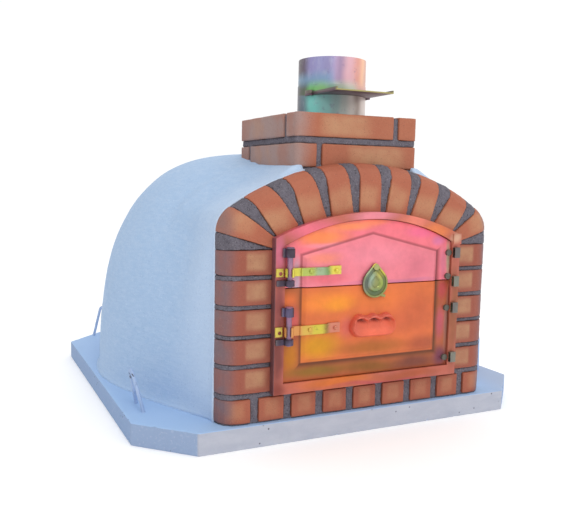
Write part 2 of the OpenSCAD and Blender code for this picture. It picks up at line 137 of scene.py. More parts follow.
def clean_bmesh(node):
    """The CAD node's surface as a bmesh with whole faces and shared corners."""
    bm = bmesh.new()
    bm.from_mesh(NODES[node].data)
    bmesh.ops.remove_doubles(bm, verts=bm.verts, dist=0.01 * MM)
    bmesh.ops.dissolve_limit(
        bm, angle_limit=math.radians(0.5), verts=bm.verts, edges=bm.edges
    )
    return bm


def bevel_edges(bm, chosen, width, segments):
    edges = [e for e in bm.edges if chosen(e)]
    if edges:
        bmesh.ops.bevel(
            bm,
            geom=edges,
            offset=width,
            segments=segments,
            profile=0.5,
            affect="EDGES",
            clamp_overlap=True,
        )


def sharp(edge):
    return len(edge.link_faces) == 2 and edge.calc_face_angle(0) > SHARP_ANGLE


def sort_faces(bm):
    """Orders faces by their lowest corners, as a bevel after a bevel orders them by chance."""
    bm.verts.index_update()
    count = len(bm.verts)

    def place(face):
        a, b, c = sorted(v.index for v in face.verts)[:3]
        return (a * count + b) * count + c

    bm.faces.sort(key=place)


def bevelled_copy(node, width, segments, special):
    """A copy of a CAD node with its sharp edges rounded."""
    bm = clean_bmesh(node)
    if special:
        special(bm)
    bevel_edges(bm, sharp, width, segments)
    if special:
        sort_faces(bm)
    mesh = bpy.data.meshes.new(node)
    bm.to_mesh(mesh)
    bm.free()
    smooth_by_angle(mesh)
    return add_object(node + "_finish", mesh)


def dress(node, mesh, slot, material):
    """Adds a mesh of the oven's own body in the place of one CAD node."""
    return finish_piece(add_object(node + "_finish", mesh), "oven", slot, material, node)


def dress_cad(node, width, body, slot, look, segments=2, special=None):
    """Gives a finish to a CAD node's own shape with edges rounded by width, in mm."""
    piece = bevelled_copy(node, width * MM, segments, special)
    return finish_piece(piece, body, slot, look, node)


def coordinates(mesh):
    points = np.zeros(len(mesh.vertices) * 3, np.float32)
    mesh.vertices.foreach_get("co", points)
    return points.reshape(-1, 3).astype(float)


def set_coordinates(mesh, points):
    mesh.vertices.foreach_set("co", np.asarray(points, np.float32).ravel())
    mesh.update()


def vertex_normals(mesh):
    normals = np.zeros(len(mesh.vertices) * 3, np.float32)
    mesh.vertices.foreach_get("normal", normals)
    return normals.reshape(-1, 3).astype(float)


def noise_at(points, scale, seed=0.0):
    """Smooth noise from -1 to 1 at each point."""
    shift = Vector((seed, seed * 0.7, -seed))
    return np.array([noise.noise(Vector(p) * scale + shift) for p in points])


def remeshed(node, voxel, smoothing):
    """A CAD node's surface made again as an even mesh with worn edges."""
    source = add_object(node + "_source", NODES[node].data.copy())
    grid = source.modifiers.new("even", "REMESH")
    grid.mode = "VOXEL"
    grid.voxel_size = voxel
    grid.use_smooth_shade = True
    soft = source.modifiers.new("soft", "SMOOTH")
    soft.factor = 0.5
    soft.iterations = smoothing
    graph = bpy.context.evaluated_depsgraph_get()
    mesh = bpy.data.meshes.new_from_object(source.evaluated_get(graph))
    bpy.data.objects.remove(source)
    mesh.shade_smooth()
    return mesh


def roughen(mesh, *layers):
    """Moves the surface in and out by layers of noise: (amplitude, waves per metre)."""
    points = coordinates(mesh)
    normals = vertex_normals(mesh)
    move = sum(
        amplitude * noise_at(points, scale, seed=3.1 * i)
        for i, (amplitude, scale) in enumerate(layers)
    )
    set_coordinates(mesh, points + normals * move[:, None])


def rings_mesh(name, rings):
    """Quads between closed rings of equal length, with a cap on the first and last."""
    count = len(rings[0])
    points = [p for ring in rings for p in ring]
    faces = []
    for r in range(len(rings) - 1):
        for i in range(count):
            a, b = r * count + i, r * count + (i + 1) % count
            faces.append((a, b, b + count, a + count))
    faces.append(tuple(range(count - 1, -1, -1)))
    last = (len(rings) - 1) * count
    faces.append(tuple(range(last, last + count)))
    return mesh_from(name, points, faces)


# ---- materials -------------------------------------------------------------


def srgb(*levels):
    """A colour from 0 to 255 display levels as the linear values Blender uses."""
    shares = [v / 255 for v in levels]
    linear = [v / 12.92 if v <= 0.04045 else ((v + 0.055) / 1.055) ** 2.4 for v in shares]
    return (*linear, 1.0)


class Finish:
    """A node material that is put together step by step."""

    def __init__(self, name, roughness=0.6, metallic=0.0, specular=0.5):
        self.material = bpy.data.materials.new(name)
        self.material.use_nodes = True
        self.tree = self.material.node_tree
        self.shader = self.tree.nodes["Principled BSDF"]
        self.shader.inputs["Roughness"].default_value = roughness
        self.shader.inputs["Metallic"].default_value = metallic
        self.shader.inputs["Specular IOR Level"].default_value = specular
        self.place = self.node("ShaderNodeTexCoord").outputs["Object"]
        self.colour = None

    def node(self, kind, **settings):
        made = self.tree.nodes.new(kind)
        for key, value in settings.items():
            setattr(made, key, value)
        return made

    def feed(self, target, value):
        """Links an output to an input, or sets the input's own number or colour."""
        if isinstance(value, bpy.types.NodeSocket):
            self.tree.links.new(value, target)
        else:
            target.default_value = value

    def math(self, operation, a, b=0.0):
        made = self.node("ShaderNodeMath", operation=operation)
        self.feed(made.inputs[0], a)
        self.feed(made.inputs[1], b)
        return made.outputs[0]

    def axis(self, letter, place=None):
        made = self.node("ShaderNodeSeparateXYZ")
        self.feed(made.inputs[0], self.place if place is None else place)
        return made.outputs[letter]

    def vector(self, operation, a, b):
        made = self.node("ShaderNodeVectorMath", operation=operation)
        self.feed(made.inputs[0], a)
        self.feed(made.inputs[1], b)
        return made.outputs[0]

    def stretched(self, x, y, z, place=None):
        return self.vector("MULTIPLY", self.place if place is None else place, (x, y, z))

    def noise(self, scale, detail=3.0, rough=0.5, place=None):
        made = self.node("ShaderNodeTexNoise")
        self.feed(made.inputs["Vector"], self.place if place is None else place)
        made.inputs["Scale"].default_value = scale
        made.inputs["Detail"].default_value = detail
        made.inputs["Roughness"].default_value = rough
        return made.outputs["Fac"]

    def cells(self, scale):
        made = self.node("ShaderNodeTexVoronoi")
        self.feed(made.inputs["Vector"], self.place)
        made.inputs["Scale"].default_value = scale
        return made.outputs["Distance"]

    def between(self, value, low, high, start=0.0, end=1.0):
        """Goes smoothly from start to end as value goes from low to high."""
        made = self.node("ShaderNodeMapRange", interpolation_type="SMOOTHSTEP")
        self.feed(made.inputs["Value"], value)
        made.inputs["From Min"].default_value = low
        made.inputs["From Max"].default_value = high
        made.inputs["To Min"].default_value = start
        made.inputs["To Max"].default_value = end
        return made.outputs["Result"]

    def mix(self, share, first, second, kind="MIX"):
        made = self.node("ShaderNodeMix", data_type="RGBA", blend_type=kind)
        self.feed(made.inputs[0], share)
        self.feed(made.inputs[6], first)
        self.feed(made.inputs[7], second)
        return made.outputs[2]

    def over(self, share, *levels):
        """Lays a display colour over the colour so far, by a share from 0 to 1."""
        self.colour = self.mix(share, self.colour, srgb(*levels))

    def attribute(self, name):
        return self.node("ShaderNodeAttribute", attribute_name=name).outputs["Fac"]

    def warped(self, amount, scale):
        """The place, pushed about by noise so that patches get uneven edges."""
        texture = self.node("ShaderNodeTexNoise")
        self.feed(texture.inputs["Vector"], self.place)
        texture.inputs["Scale"].default_value = scale
        texture.inputs["Detail"].default_value = 2.0
        centred = self.vector("SUBTRACT", texture.outputs["Color"], (0.5, 0.5, 0.5))
        scaled = self.node("ShaderNodeVectorMath", operation="SCALE")
        self.feed(scaled.inputs[0], centred)
        scaled.inputs["Scale"].default_value = amount
        return self.vector("ADD", self.place, scaled.outputs[0])

    def patch(self, place, centre, reach):
        """1 at the centre of an ellipse in the XZ plane, fading to 0 at its edge."""
        offset = self.vector("SUBTRACT", place, (centre[0] * MM, 0, centre[1] * MM))
        flat = self.stretched(1000 / reach[0], 0, 1000 / reach[1], place=offset)
        length = self.node("ShaderNodeVectorMath", operation="LENGTH")
        self.feed(length.inputs[0], flat)
        return self.between(length.outputs["Value"], 0.15, 1.0, 1.0, 0.0)

    def bump(self, height, distance, strength=1.0):
        made = self.node("ShaderNodeBump")
        made.inputs["Distance"].default_value = distance
        made.inputs["Strength"].default_value = strength
        self.feed(made.inputs["Height"], height)
        self.feed(self.shader.inputs["Normal"], made.outputs["Normal"])

    def done(self, roughness=None):
        self.feed(self.shader.inputs["Base Color"], self.colour)
        if roughness is not None:
            self.feed(self.shader.inputs["Roughness"], roughness)
        return self.material


def painted_render():
    """Rolled masonry paint on the dome: pale blue with a fine stipple."""
    f = Finish("painted_render", roughness=0.62, specular=0.3)
    f.colour = f.mix(f.noise(5, 3), srgb(160, 189, 223), srgb(170, 197, 229))
    height = f.axis("Z")
    # painted light: the lowest part of the dome is made paler, as if lit
    f.over(f.between(height, 0.12, 0.0, 0.0, 0.75), 186, 214, 246)
    # painted shade: darker on the lower dome, so the top reads as lit from above
    f.over(f.between(height, 0.18, 0.42, 0.35, 0.0), 150, 180, 216)
    # painted light: the last few mm above the slab are made paler still, so no shaded crease shows at the
    # foot
    foot = f.between(height, SLAB_TOP + 9 * MM, SLAB_TOP + 1 * MM, 0.0, 0.9)
    f.over(foot, 206, 230, 255)
    # painted light: paler and warmer toward the brick front, as if lit from the front
    front = f.between(f.axis("Y"), SHELL_LO.y + 0.16, SHELL_LO.y, 0.0, 0.75)
    f.over(front, 186, 206, 232)
    streak = f.noise(120, 4, 0.6, place=f.stretched(0.35, 0.35, 1.6))
    f.over(f.between(streak, 0.35, 0.75, 0.0, 0.35), 194, 212, 236)
    worn = f.between(f.noise(240, 2), 0.62, 0.72, 0.0, 0.3)
    f.over(worn, 120, 146, 190)
    beads = f.between(f.noise(300, 2), 0.60, 0.70, 0.0, 0.35)
    f.over(beads, 206, 222, 244)
    rim = f.between(f.axis("Y"), SHELL_LO.y - 12 * MM, SHELL_LO.y - 14 * MM, 0.0, 0.35)
    f.over(rim, 214, 222, 236)
    stipple = f.math("MULTIPLY", f.noise(300, 3), 0.6)
    pad = f.math("MULTIPLY", f.noise(90, 2), 0.5)
    f.bump(f.math("ADD", stipple, pad), 1.8 * MM, 0.8)
    return f.done(f.between(f.noise(60, 2), 0.3, 0.7, 0.55, 0.7))


def painted_concrete():
    """Painted slab: blue top with painted light toward its right, sides and cut corner in painted shade, a
    paler front edge, pits and scuffs along the edges.
    """
    f = Finish("painted_concrete", roughness=0.62, specular=0.3)
    top = f.mix(f.noise(7, 3), srgb(158, 190, 230), srgb(170, 199, 236))
    # painted light: the top turns a greyer, warmer blue toward the right, as if lit from there
    right = f.between(f.axis("X"), 0.30, 0.46, 0.0, 0.8)
    top = f.mix(right, top, srgb(170, 178, 198))
    # painted shade: the sides are a darker, shaded copy of the top's paint
    edge = f.mix(f.noise(12, 3), srgb(130, 158, 198), srgb(146, 170, 206))
    # painted shade: the front-left cut corner gets a less shaded copy of its own
    cut_corner = f.math("SUBTRACT", f.math("ADD", f.axis("X"), f.axis("Y")), -0.892)
    chamfer = f.between(cut_corner, 0.010, 0.004)
    edge = f.mix(chamfer, edge, srgb(148, 168, 200))
    grit = f.between(f.noise(170, 3), 0.55, 0.72, 0.0, 0.5)
    edge = f.mix(grit, edge, srgb(176, 190, 214))
    # the front face is paler: worn paint with board marks, and painted light from the front
    front = f.between(f.axis("Y"), SLAB_LO.y + 0.004, SLAB_LO.y + 0.001)
    board = f.noise(40, 4, 0.6, place=f.stretched(0.4, 0.4, 1.4))
    pale = f.mix(f.between(board, 0.3, 0.7), srgb(174, 179, 194), srgb(184, 188, 201))
    edge = f.mix(front, edge, pale)
    side = f.between(f.axis("Z"), SLAB_TOP - 0.6 * MM, SLAB_TOP - 2 * MM)
    f.colour = f.mix(side, top, edge)
    pits = f.between(f.cells(60), 0.17, 0.06)
    rare = f.between(f.noise(23, 2), 0.51, 0.58)
    marks = f.math("MULTIPLY", f.math("MULTIPLY", pits, rare), side)
    f.over(marks, 88, 88, 104)
    f.bump(f.noise(200, 4, 0.6), 1.2 * MM, 0.5)
    return f.done()


def painted_bar():
    """Loop bar under brushed paint that has run and chipped at the bend."""
    f = Finish("painted_bar", roughness=0.5, specular=0.35)
    streak = f.noise(90, 3, place=f.stretched(1, 1, 0.3))
    f.colour = f.mix(f.between(streak, 0.3, 0.65), srgb(152, 176, 214), srgb(172, 192, 224))
    chips = f.between(f.noise(75, 4, 0.7), 0.57, 0.62)
    bend = f.between(f.axis("Z"), SLAB_TOP + 0.056, SLAB_TOP + 0.070, 0.1, 0.9)
    f.over(f.math("MULTIPLY", chips, bend), 74, 76, 94)
    f.bump(f.noise(160, 3), 0.8 * MM, 0.6)
    return f.done()


def fired_brick(name, low, high, pale, shade_tint):
    """Fired brick with a soft pale patch on each face, dust with a painted sheen, and painted shade on its
    rounded ends.
    """
    f = Finish(name, roughness=0.58, specular=0.4)
    body = f.mix(f.noise(28, 4, 0.6), low, high)
    redder = f.mix(0.5, low, srgb(150, 74, 56))
    f.colour = f.mix(f.attribute("tone"), body, redder)
    uneven = f.between(f.noise(42, 3), 0.25, 0.75, 0.6, 1.0)
    # pale patch: dust and mortar smear with a painted sheen on it; the brick is glossier there
    sheen_and_dust = f.math("MULTIPLY", f.attribute("sheen_and_dust"), uneven)
    f.colour = f.mix(sheen_and_dust, f.colour, pale)
    # painted shade: darker on the bricks' rounded ends and on the chimney's left side
    uneven_shade = f.between(f.noise(18, 3), 0.35, 0.65, 0.6, 1.0)
    f.colour = f.mix(f.math("MULTIPLY", f.attribute("painted_shade"), uneven_shade), f.colour, shade_tint)
    flecks = f.between(f.noise(420, 2), 0.60, 0.70, 0.0, 0.35)
    f.over(flecks, 98, 60, 50)
    sand = f.between(f.noise(520, 1), 0.64, 0.74, 0.0, 0.3)
    f.over(sand, 196, 152, 122)
    grain = f.math("ADD", f.noise(300, 3), f.math("MULTIPLY", f.noise(60, 2), 0.6))
    f.bump(grain, 0.9 * MM, 0.5)
    return f.done(f.between(sheen_and_dust, 0, 1, 0.66, 0.54))


def dark_mortar():
    """Dark sandy pointing mortar."""
    f = Finish("dark_mortar", roughness=0.9, specular=0.25)
    f.colour = f.mix(f.noise(55, 4, 0.65), srgb(84, 81, 90), srgb(126, 121, 132))
    grains = f.between(f.noise(380, 3, 0.7), 0.56, 0.68, 0.0, 0.5)
    f.over(grains, 168, 162, 168)
    holes = f.between(f.noise(300, 3, 0.7, place=f.stretched(1.1, 0.9, 1)), 0.42, 0.34)
    f.over(holes, 52, 47, 50)
    f.bump(f.math("ADD", f.noise(380, 3, 0.7), f.noise(120, 2)), 2.2 * MM, 0.9)
    return f.done()


def plain_mineral(name, low, high, scale, relief):
    """Cast, fired or loose material inside the oven."""
    f = Finish(name, roughness=0.85, specular=0.3)
    f.colour = f.mix(f.noise(scale, 5, 0.65), low, high)
    specks = f.between(f.noise(scale * 9, 2), 0.62, 0.7, 0.0, 0.5)
    f.over(specks, 120, 104, 92)
    f.bump(f.noise(scale * 6, 4, 0.6), relief, 0.7)
    return f.done()


def outside_panel(f, sides):
    """Distance outside the raised panel, in metres; negative on the panel itself."""
    across, up = f.axis("X"), f.axis("Z")
    away = None
    for nx, nz, reach in sides:
        lean = f.math("ADD", f.math("MULTIPLY", across, nx), f.math("MULTIPLY", up, nz))
        side = f.math("SUBTRACT", lean, reach * MM)
        away = side if away is None else f.math("MAXIMUM", away, side)
    return away


def tinted(f, place, base, patches):
    """Soft patches of colour over a base, in millimetres across the front."""
    colour = base
    for x, z, reach_x, reach_z, share, tint in patches:
        mask = f.math("MULTIPLY", f.patch(place, (x, z), (reach_x, reach_z)), share)
        colour = f.mix(mask, colour, srgb(*tint))
    return colour


def clouded(f, colour, depth=0.14):
    """Uneven film thickness: slow lighter and darker clouds."""
    clouds = f.between(f.noise(26, 4, 0.6), 0.3, 0.7, 1 - depth / 2, 1 + depth / 2)
    grey = f.node("ShaderNodeCombineColor")
    for channel in range(3):
        f.feed(grey.inputs[channel], clouds)
    return f.mix(1.0, colour, grey.outputs[0], kind="MULTIPLY")


def film(f, smooth, rough, grain=260, relief=0.5, strength=0.35):
    """Ends a passivated metal: fine casting grain, and a sheen that wanders."""
    f.bump(f.noise(grain, 4, 0.6), relief * MM, strength)
    return f.done(f.between(f.noise(45, 3), 0.3, 0.7, smooth, rough))


def leaf_finish(name, sides, shaded, rim, rim_patches, panel, panel_patches, edge_shade):
    """Passivated door leaf: tints on the flat rim, others on the panel, and painted shade along the panel's
    edges.
    """
    f = Finish(name, roughness=0.42, metallic=0.3)
    place = f.warped(16 * MM, 9)
    away = outside_panel(f, sides)
    on_rim = tinted(f, place, rim, rim_patches)
    on_panel = tinted(f, place, panel, panel_patches)
    f.colour = f.mix(f.between(away, -1.5 * MM, 0.5 * MM), on_panel, on_rim)
    f.colour = clouded(f, f.colour)
    # painted shade: a dark line just outside the raised panel, and a wider soft band along its shaded sides
    starts = f.between(away, -2.5 * MM, 0.5 * MM)
    line = f.math("MULTIPLY", starts, f.between(away, 7 * MM, 1 * MM))
    f.colour = f.mix(f.math("MULTIPLY", line, 0.62), f.colour, edge_shade)
    by_shade = f.math("SUBTRACT", away, outside_panel(f, shaded))
    soft = f.math("MULTIPLY", starts, f.between(away, 15 * MM, 2 * MM, 0.0, 0.7))
    shade = f.math("MULTIPLY", soft, f.between(by_shade, 3 * MM, 0.0))
    f.colour = f.mix(shade, f.colour, edge_shade)
    raised = f.between(f.axis("Y"), PANEL_Y + 5.0 * MM, PANEL_Y + 4.6 * MM)
    stud = f.math("MULTIPLY", raised, f.between(f.axis("X"), 186 * MM, 188 * MM))
    f.over(stud, 96, 92, 84)
    return film(f, 0.36, 0.52, grain=240, relief=0.4, strength=0.3)


def upper_leaf_finish():
    sides = [(1, 0, 170.5), (-1, 0, 170.5), (0.239, 0.971, 427.2), (-0.239, 0.971, 427.2)]
    rim = [
        (-125, 436, 100, 30, 1.0, (248, 138, 84)), (-60, 458, 90, 16, 0.9, (252, 146, 92)),
        (0, 466, 70, 12, 0.8, (252, 138, 96)), (70, 458, 60, 16, 0.7, (244, 116, 128)),
        (130, 442, 60, 18, 0.8, (238, 106, 146)), (178, 424, 26, 16, 0.7, (220, 124, 176)),
        (-110, 418, 80, 8, 0.6, (244, 150, 176)), (-181, 350, 17, 66, 1.0, (198, 162, 180)),
        (-196, 345, 22, 14, 0.5, (232, 116, 130)), (-186, 424, 20, 14, 0.6, (240, 120, 130)),
        (190, 372, 16, 60, 0.8, (200, 112, 134)), (206, 380, 10, 70, 0.95, (166, 152, 126)),
    ]
    panel = [
        (-120, 392, 60, 18, 0.8, (246, 142, 116)), (0, 392, 110, 34, 0.5, (242, 142, 160)),
        (-110, 348, 70, 16, 0.6, (224, 98, 110)), (120, 365, 60, 45, 0.6, (204, 106, 124)),
        (80, 337, 120, 8, 0.7, (192, 112, 146)), (-20, 336, 80, 6, 0.5, (200, 116, 150)),
    ]
    rim_base, panel_base = srgb(238, 118, 132), srgb(232, 128, 142)
    return leaf_finish(
        "upper_leaf_tint", sides, sides[:1], rim_base, rim, panel_base, panel, srgb(120, 52, 58)
    )


def lower_leaf_finish():
    sides = [(1, 0, 170.5), (-1, 0, 170.5), (0, -1, -170)]
    rim = [
        (-195, 306, 24, 30, 0.9, (228, 116, 58)), (-188, 262, 28, 50, 0.95, (206, 92, 90)),
        (-192, 186, 26, 50, 1.0, (190, 116, 26)), (-130, 150, 110, 18, 0.9, (136, 100, 30)),
        (0, 148, 110, 20, 0.9, (134, 84, 28)), (120, 148, 90, 24, 0.9, (114, 58, 46)),
        (192, 155, 30, 40, 0.9, (112, 56, 82)), (188, 312, 24, 36, 0.9, (182, 66, 70)),
        (188, 235, 22, 60, 0.9, (184, 84, 98)), (206, 240, 9, 110, 0.8, (150, 112, 104)),
    ]
    panel = [
        (-110, 300, 100, 34, 0.9, (236, 136, 52)), (-80, 293, 50, 24, 0.8, (238, 152, 38)),
        (-130, 205, 80, 46, 1.0, (208, 142, 20)), (0, 300, 120, 36, 0.6, (230, 122, 56)),
        (-62, 240, 34, 34, 0.8, (208, 98, 88)), (60, 240, 60, 40, 0.6, (204, 96, 62)),
        (0, 192, 130, 24, 0.9, (168, 96, 36)), (120, 260, 90, 80, 0.7, (196, 92, 58)),
        (140, 192, 70, 30, 0.7, (154, 70, 48)),
    ]
    rim_base, panel_base = srgb(176, 94, 52), srgb(218, 112, 60)
    return leaf_finish(
        "lower_leaf_tint", sides, [sides[0], sides[2]], rim_base, rim, panel_base, panel, srgb(92, 50, 26)
    )


def frame_finish():
    patches = [
        (-150, 452, 110, 34, 0.9, (232, 112, 132)), (0, 480, 90, 20, 0.8, (238, 142, 158)),
        (110, 466, 60, 30, 0.8, (236, 132, 112)), (170, 445, 60, 26, 0.9, (230, 128, 74)),
        (-222, 400, 20, 70, 0.95, (206, 108, 132)), (-222, 300, 20, 100, 0.95, (138, 70, 68)),
        (-222, 190, 22, 110, 0.95, (118, 60, 56)), (-80, 122, 150, 22, 0.95, (206, 108, 42)),
        (100, 122, 130, 20, 0.9, (168, 82, 50)), (222, 250, 24, 170, 0.95, (150, 88, 58)),
        (222, 425, 20, 18, 1.0, (206, 160, 134)), (30, 112, 180, 7, 0.7, (176, 74, 84)),
        (-222, 116, 26, 26, 0.9, (132, 60, 50)),
    ]
    f = Finish("frame_tint", roughness=0.42, metallic=0.35)
    f.colour = clouded(f, tinted(f, f.warped(26 * MM, 9), srgb(184, 100, 84), patches))
    side = f.between(f.axis("X"), FRAME_LO.x + 1.6 * MM, FRAME_LO.x + 0.4 * MM, 0.0, 0.7)
    f.over(side, 98, 78, 88)
    return film(f, 0.34, 0.52)


def grip_finish():
    patches = [
        (0, 226, 50, 16, 0.7, (246, 118, 88)), (0, 264, 60, 12, 0.6, (214, 116, 104)),
        (-50, 243, 20, 30, 0.5, (206, 96, 80)), (50, 243, 20, 30, 0.5, (206, 98, 64)),
    ]
    f = Finish("grip_tint", roughness=0.42, metallic=0.35)
    f.colour = clouded(f, tinted(f, f.warped(10 * MM, 9), srgb(222, 104, 78), patches))
    # painted shadow under the lobes, with darker oxide in the finger hollows
    f.over(f.attribute("hollow"), 98, 44, 44)
    return film(f, 0.34, 0.52)


def strap_finish(name, colours):
    """Yellow passivated strap with bands of colour along it."""
    f = Finish(name, roughness=0.38, metallic=0.55)
    along = f.axis("X", f.warped(10 * MM, 25))
    f.colour = srgb(*colours[0][1])
    for start, tint in colours[1:]:
        f.over(f.between(along, (start - 14) * MM, start * MM), *tint)
    dirt = f.between(f.noise(110, 3, 0.6), 0.58, 0.72, 0.0, 0.4)
    f.over(dirt, 112, 100, 50)
    f.bump(f.noise(300, 3), 0.4 * MM, 0.3)
    return f.done()


def dark_metal(name, low, high, sheen):
    """Dark passivated ironwork with a purple bloom, and pale convex edges: rubbed wear with a painted
    highlight.
    """
    f = Finish(name, roughness=0.4, metallic=0.6)
    f.colour = f.mix(f.noise(70, 4, 0.6), low, high)
    bloom = f.between(f.noise(38, 2, place=f.stretched(1, 1, 0.4)), 0.42, 0.62, 0.0, 0.9)
    f.colour = f.mix(bloom, f.colour, sheen)
    # pale on convex edges: rubbed wear, and a painted highlight where they catch light
    pointed = f.node("ShaderNodeNewGeometry").outputs["Pointiness"]
    f.over(f.between(pointed, 0.54, 0.62, 0.0, 0.5), 216, 212, 214)
    f.bump(f.noise(240, 4, 0.6), 0.5 * MM, 0.4)
    return f.done()


def latch_finish():
    patches = [
        (3, 375, 16, 14, 1.0, (222, 210, 76)), (18, 356, 16, 18, 0.85, (214, 206, 84)),
        (-12, 345, 18, 30, 0.85, (150, 176, 156)), (-22, 330, 16, 26, 0.7, (118, 124, 130)),
        (20, 330, 18, 22, 0.8, (150, 170, 84)), (0, 314, 26, 12, 0.8, (112, 142, 100)),
    ]
    f = Finish("latch_tint", roughness=0.36, metallic=0.6)
    f.colour = clouded(f, tinted(f, f.warped(8 * MM, 9), srgb(150, 154, 96), patches))
    # painted shade: darker in the recess inside the rim
    floor = f.between(f.axis("Y"), LATCH_HI.y - 3.2 * MM, LATCH_HI.y - 2.4 * MM, 0.0, 0.6)
    f.over(floor, 72, 80, 66)
    return film(f, 0.28, 0.46)


def round_the_pipe(f, place):
    """Position across the pipe as it is seen from the front left, in metres."""
    x = f.math("MULTIPLY", f.axis("X", place), 0.905)
    depth = f.math("SUBTRACT", f.axis("Y", place), (FLUE_LO.y + FLUE_HI.y) / 2)
    return f.math("SUBTRACT", x, f.math("MULTIPLY", depth, 0.425))


def banded(f, along, colours):
    """One colour after another along a value, each from its own start."""
    colour = srgb(*colours[0][1])
    for (before, _), (start, tint) in zip(colours, colours[1:]):
        step = f.between(along, (before + start) / 2 - 9 * MM, start)
        colour = f.mix(step, colour, srgb(*tint))
    return colour


def flue_finish():
    """Rainbow passivated steel pipe: colour changes round it and up it."""
    f = Finish("flue_tint", roughness=0.34, metallic=0.3)
    place = f.warped(14 * MM, 16)
    across = round_the_pipe(f, place)
    up = f.axis("Z", place)
    slot_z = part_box("damper_plate")[0].z
    # colours across the pipe as seen from the front left: the rainbow film, with painted shade in the darkest
    # bands at the left edge
    high = banded(f, across, [
        (-0.080, (84, 74, 80)), (-0.066, (104, 92, 108)), (-0.052, (156, 150, 198)),
        (-0.034, (160, 158, 204)), (-0.010, (148, 142, 184)), (0.010, (158, 134, 166)),
        (0.034, (224, 176, 186)), (0.056, (224, 158, 144)), (0.068, (246, 194, 158)),
        (0.078, (214, 158, 140)),
    ])
    middle = banded(f, across, [
        (-0.080, (84, 84, 80)), (-0.066, (96, 108, 90)), (-0.050, (126, 196, 118)),
        (-0.030, (144, 200, 130)), (-0.004, (138, 176, 150)), (0.016, (168, 182, 160)),
        (0.038, (204, 208, 192)), (0.062, (230, 182, 170)),
    ])
    low = banded(f, across, [
        (-0.080, (92, 84, 98)), (-0.066, (110, 134, 146)), (-0.052, (138, 222, 214)),
        (-0.020, (152, 210, 206)), (0.004, (160, 192, 190)), (0.024, (186, 196, 190)),
        (0.042, (220, 214, 206)), (0.056, (176, 160, 150)), (0.068, (238, 226, 218)),
    ])
    left = f.between(across, 0.012, -0.020)
    bluish = f.math("MULTIPLY", left, f.between(up, slot_z + 0.060, slot_z + 0.034, 0.0, 0.75))
    high = f.mix(bluish, high, srgb(126, 166, 196))
    f.colour = f.mix(f.between(up, slot_z + 0.012, slot_z + 0.038), middle, high)
    f.colour = f.mix(f.between(up, slot_z + 0.003, slot_z - 0.002), f.colour, low)
    # painted highlight: a yellow lit lip just above the damper slot
    edge = f.between(f.axis("Z"), slot_z + 0.009, slot_z + 0.003)
    edge = f.math("MULTIPLY", edge, f.between(f.axis("Z"), slot_z - 0.001, slot_z))
    edge = f.math("MULTIPLY", edge, f.between(across, -0.068, -0.050, 0.0, 0.6))
    f.over(edge, 196, 190, 96)
    brushed = f.noise(90, 4, 0.6, place=f.stretched(1, 1, 0.45))
    f.over(f.between(brushed, 0.5, 0.75, 0.0, 0.16), 214, 214, 222)
    spots = f.between(f.noise(70, 3, 0.6), 0.60, 0.70, 0.0, 0.3)
    f.over(spots, 126, 108, 150)
    f.bump(f.noise(220, 2, place=f.stretched(1, 1, 0.3)), 0.3 * MM, 0.25)
    return f.done()


def damper_finish():
    f = Finish("damper_tint", roughness=0.4, metallic=0.5)
    f.colour = f.mix(f.noise(40, 3), srgb(92, 74, 84), srgb(122, 98, 112))
    front_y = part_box("damper_plate")[0].y
    # painted highlight: the front lip is yellow where it catches the light
    edge = f.between(f.axis("Y"), front_y + 0.012, front_y)
    f.over(edge, 176, 168, 110)
    low_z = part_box("damper_plate")[0].z
    # painted shade: the plate's underside stays dark, the faces above it lighter
    raised = f.between(f.axis("Z"), low_z + 0.002, low_z + 0.004)
    f.over(f.math("MULTIPLY", raised, 0.6), 128, 128, 112)
    f.bump(f.noise(200, 3), 0.4 * MM, 0.3)
    return f.done()


def plain_steel():
    f = Finish("plain_steel", roughness=0.45, metallic=0.8)
    f.colour = f.mix(f.noise(90, 3), srgb(112, 108, 106), srgb(146, 140, 136))
    f.bump(f.noise(220, 3), 0.4 * MM, 0.4)
    return f.done()


# ---- slab and loops --------------------------------------------------------


def slab_outline(step, corner_r):
    """The cut-cornered square as points with rounded corners, and their outward normals."""
    half = SLAB_HI.x
    cut = half - SLAB_CUT
    corners = [
        Vector(c)
        for c in (
            (cut, -half), (half, -cut), (half, cut), (cut, half),
            (-cut, half), (-half, cut), (-half, -cut), (-cut, -half),
        )
    ]
    points, normals = [], []
    for i, corner in enumerate(corners):
        before = (corner - corners[i - 1]).normalized()
        after = (corners[(i + 1) % 8] - corner).normalized()
        normal_in = Vector((before.y, -before.x))
        normal_out = Vector((after.y, -after.x))
        mitre = (normal_in + normal_out).normalized()
        centre = corner - mitre * corner_r / mitre.dot(normal_in)
        for k in range(5):
            normal = normal_in.lerp(normal_out, k / 4).normalized()
            points.append(centre + normal * corner_r)
            normals.append(normal)
        end = corners[(i + 1) % 8] - after * corner_r * 0.42
        start = points[-1]
        count = int((end - start).length / step)
        for k in range(1, count):
            points.append(start.lerp(end, k / count))
            normals.append(normal_out)
    return points, normals


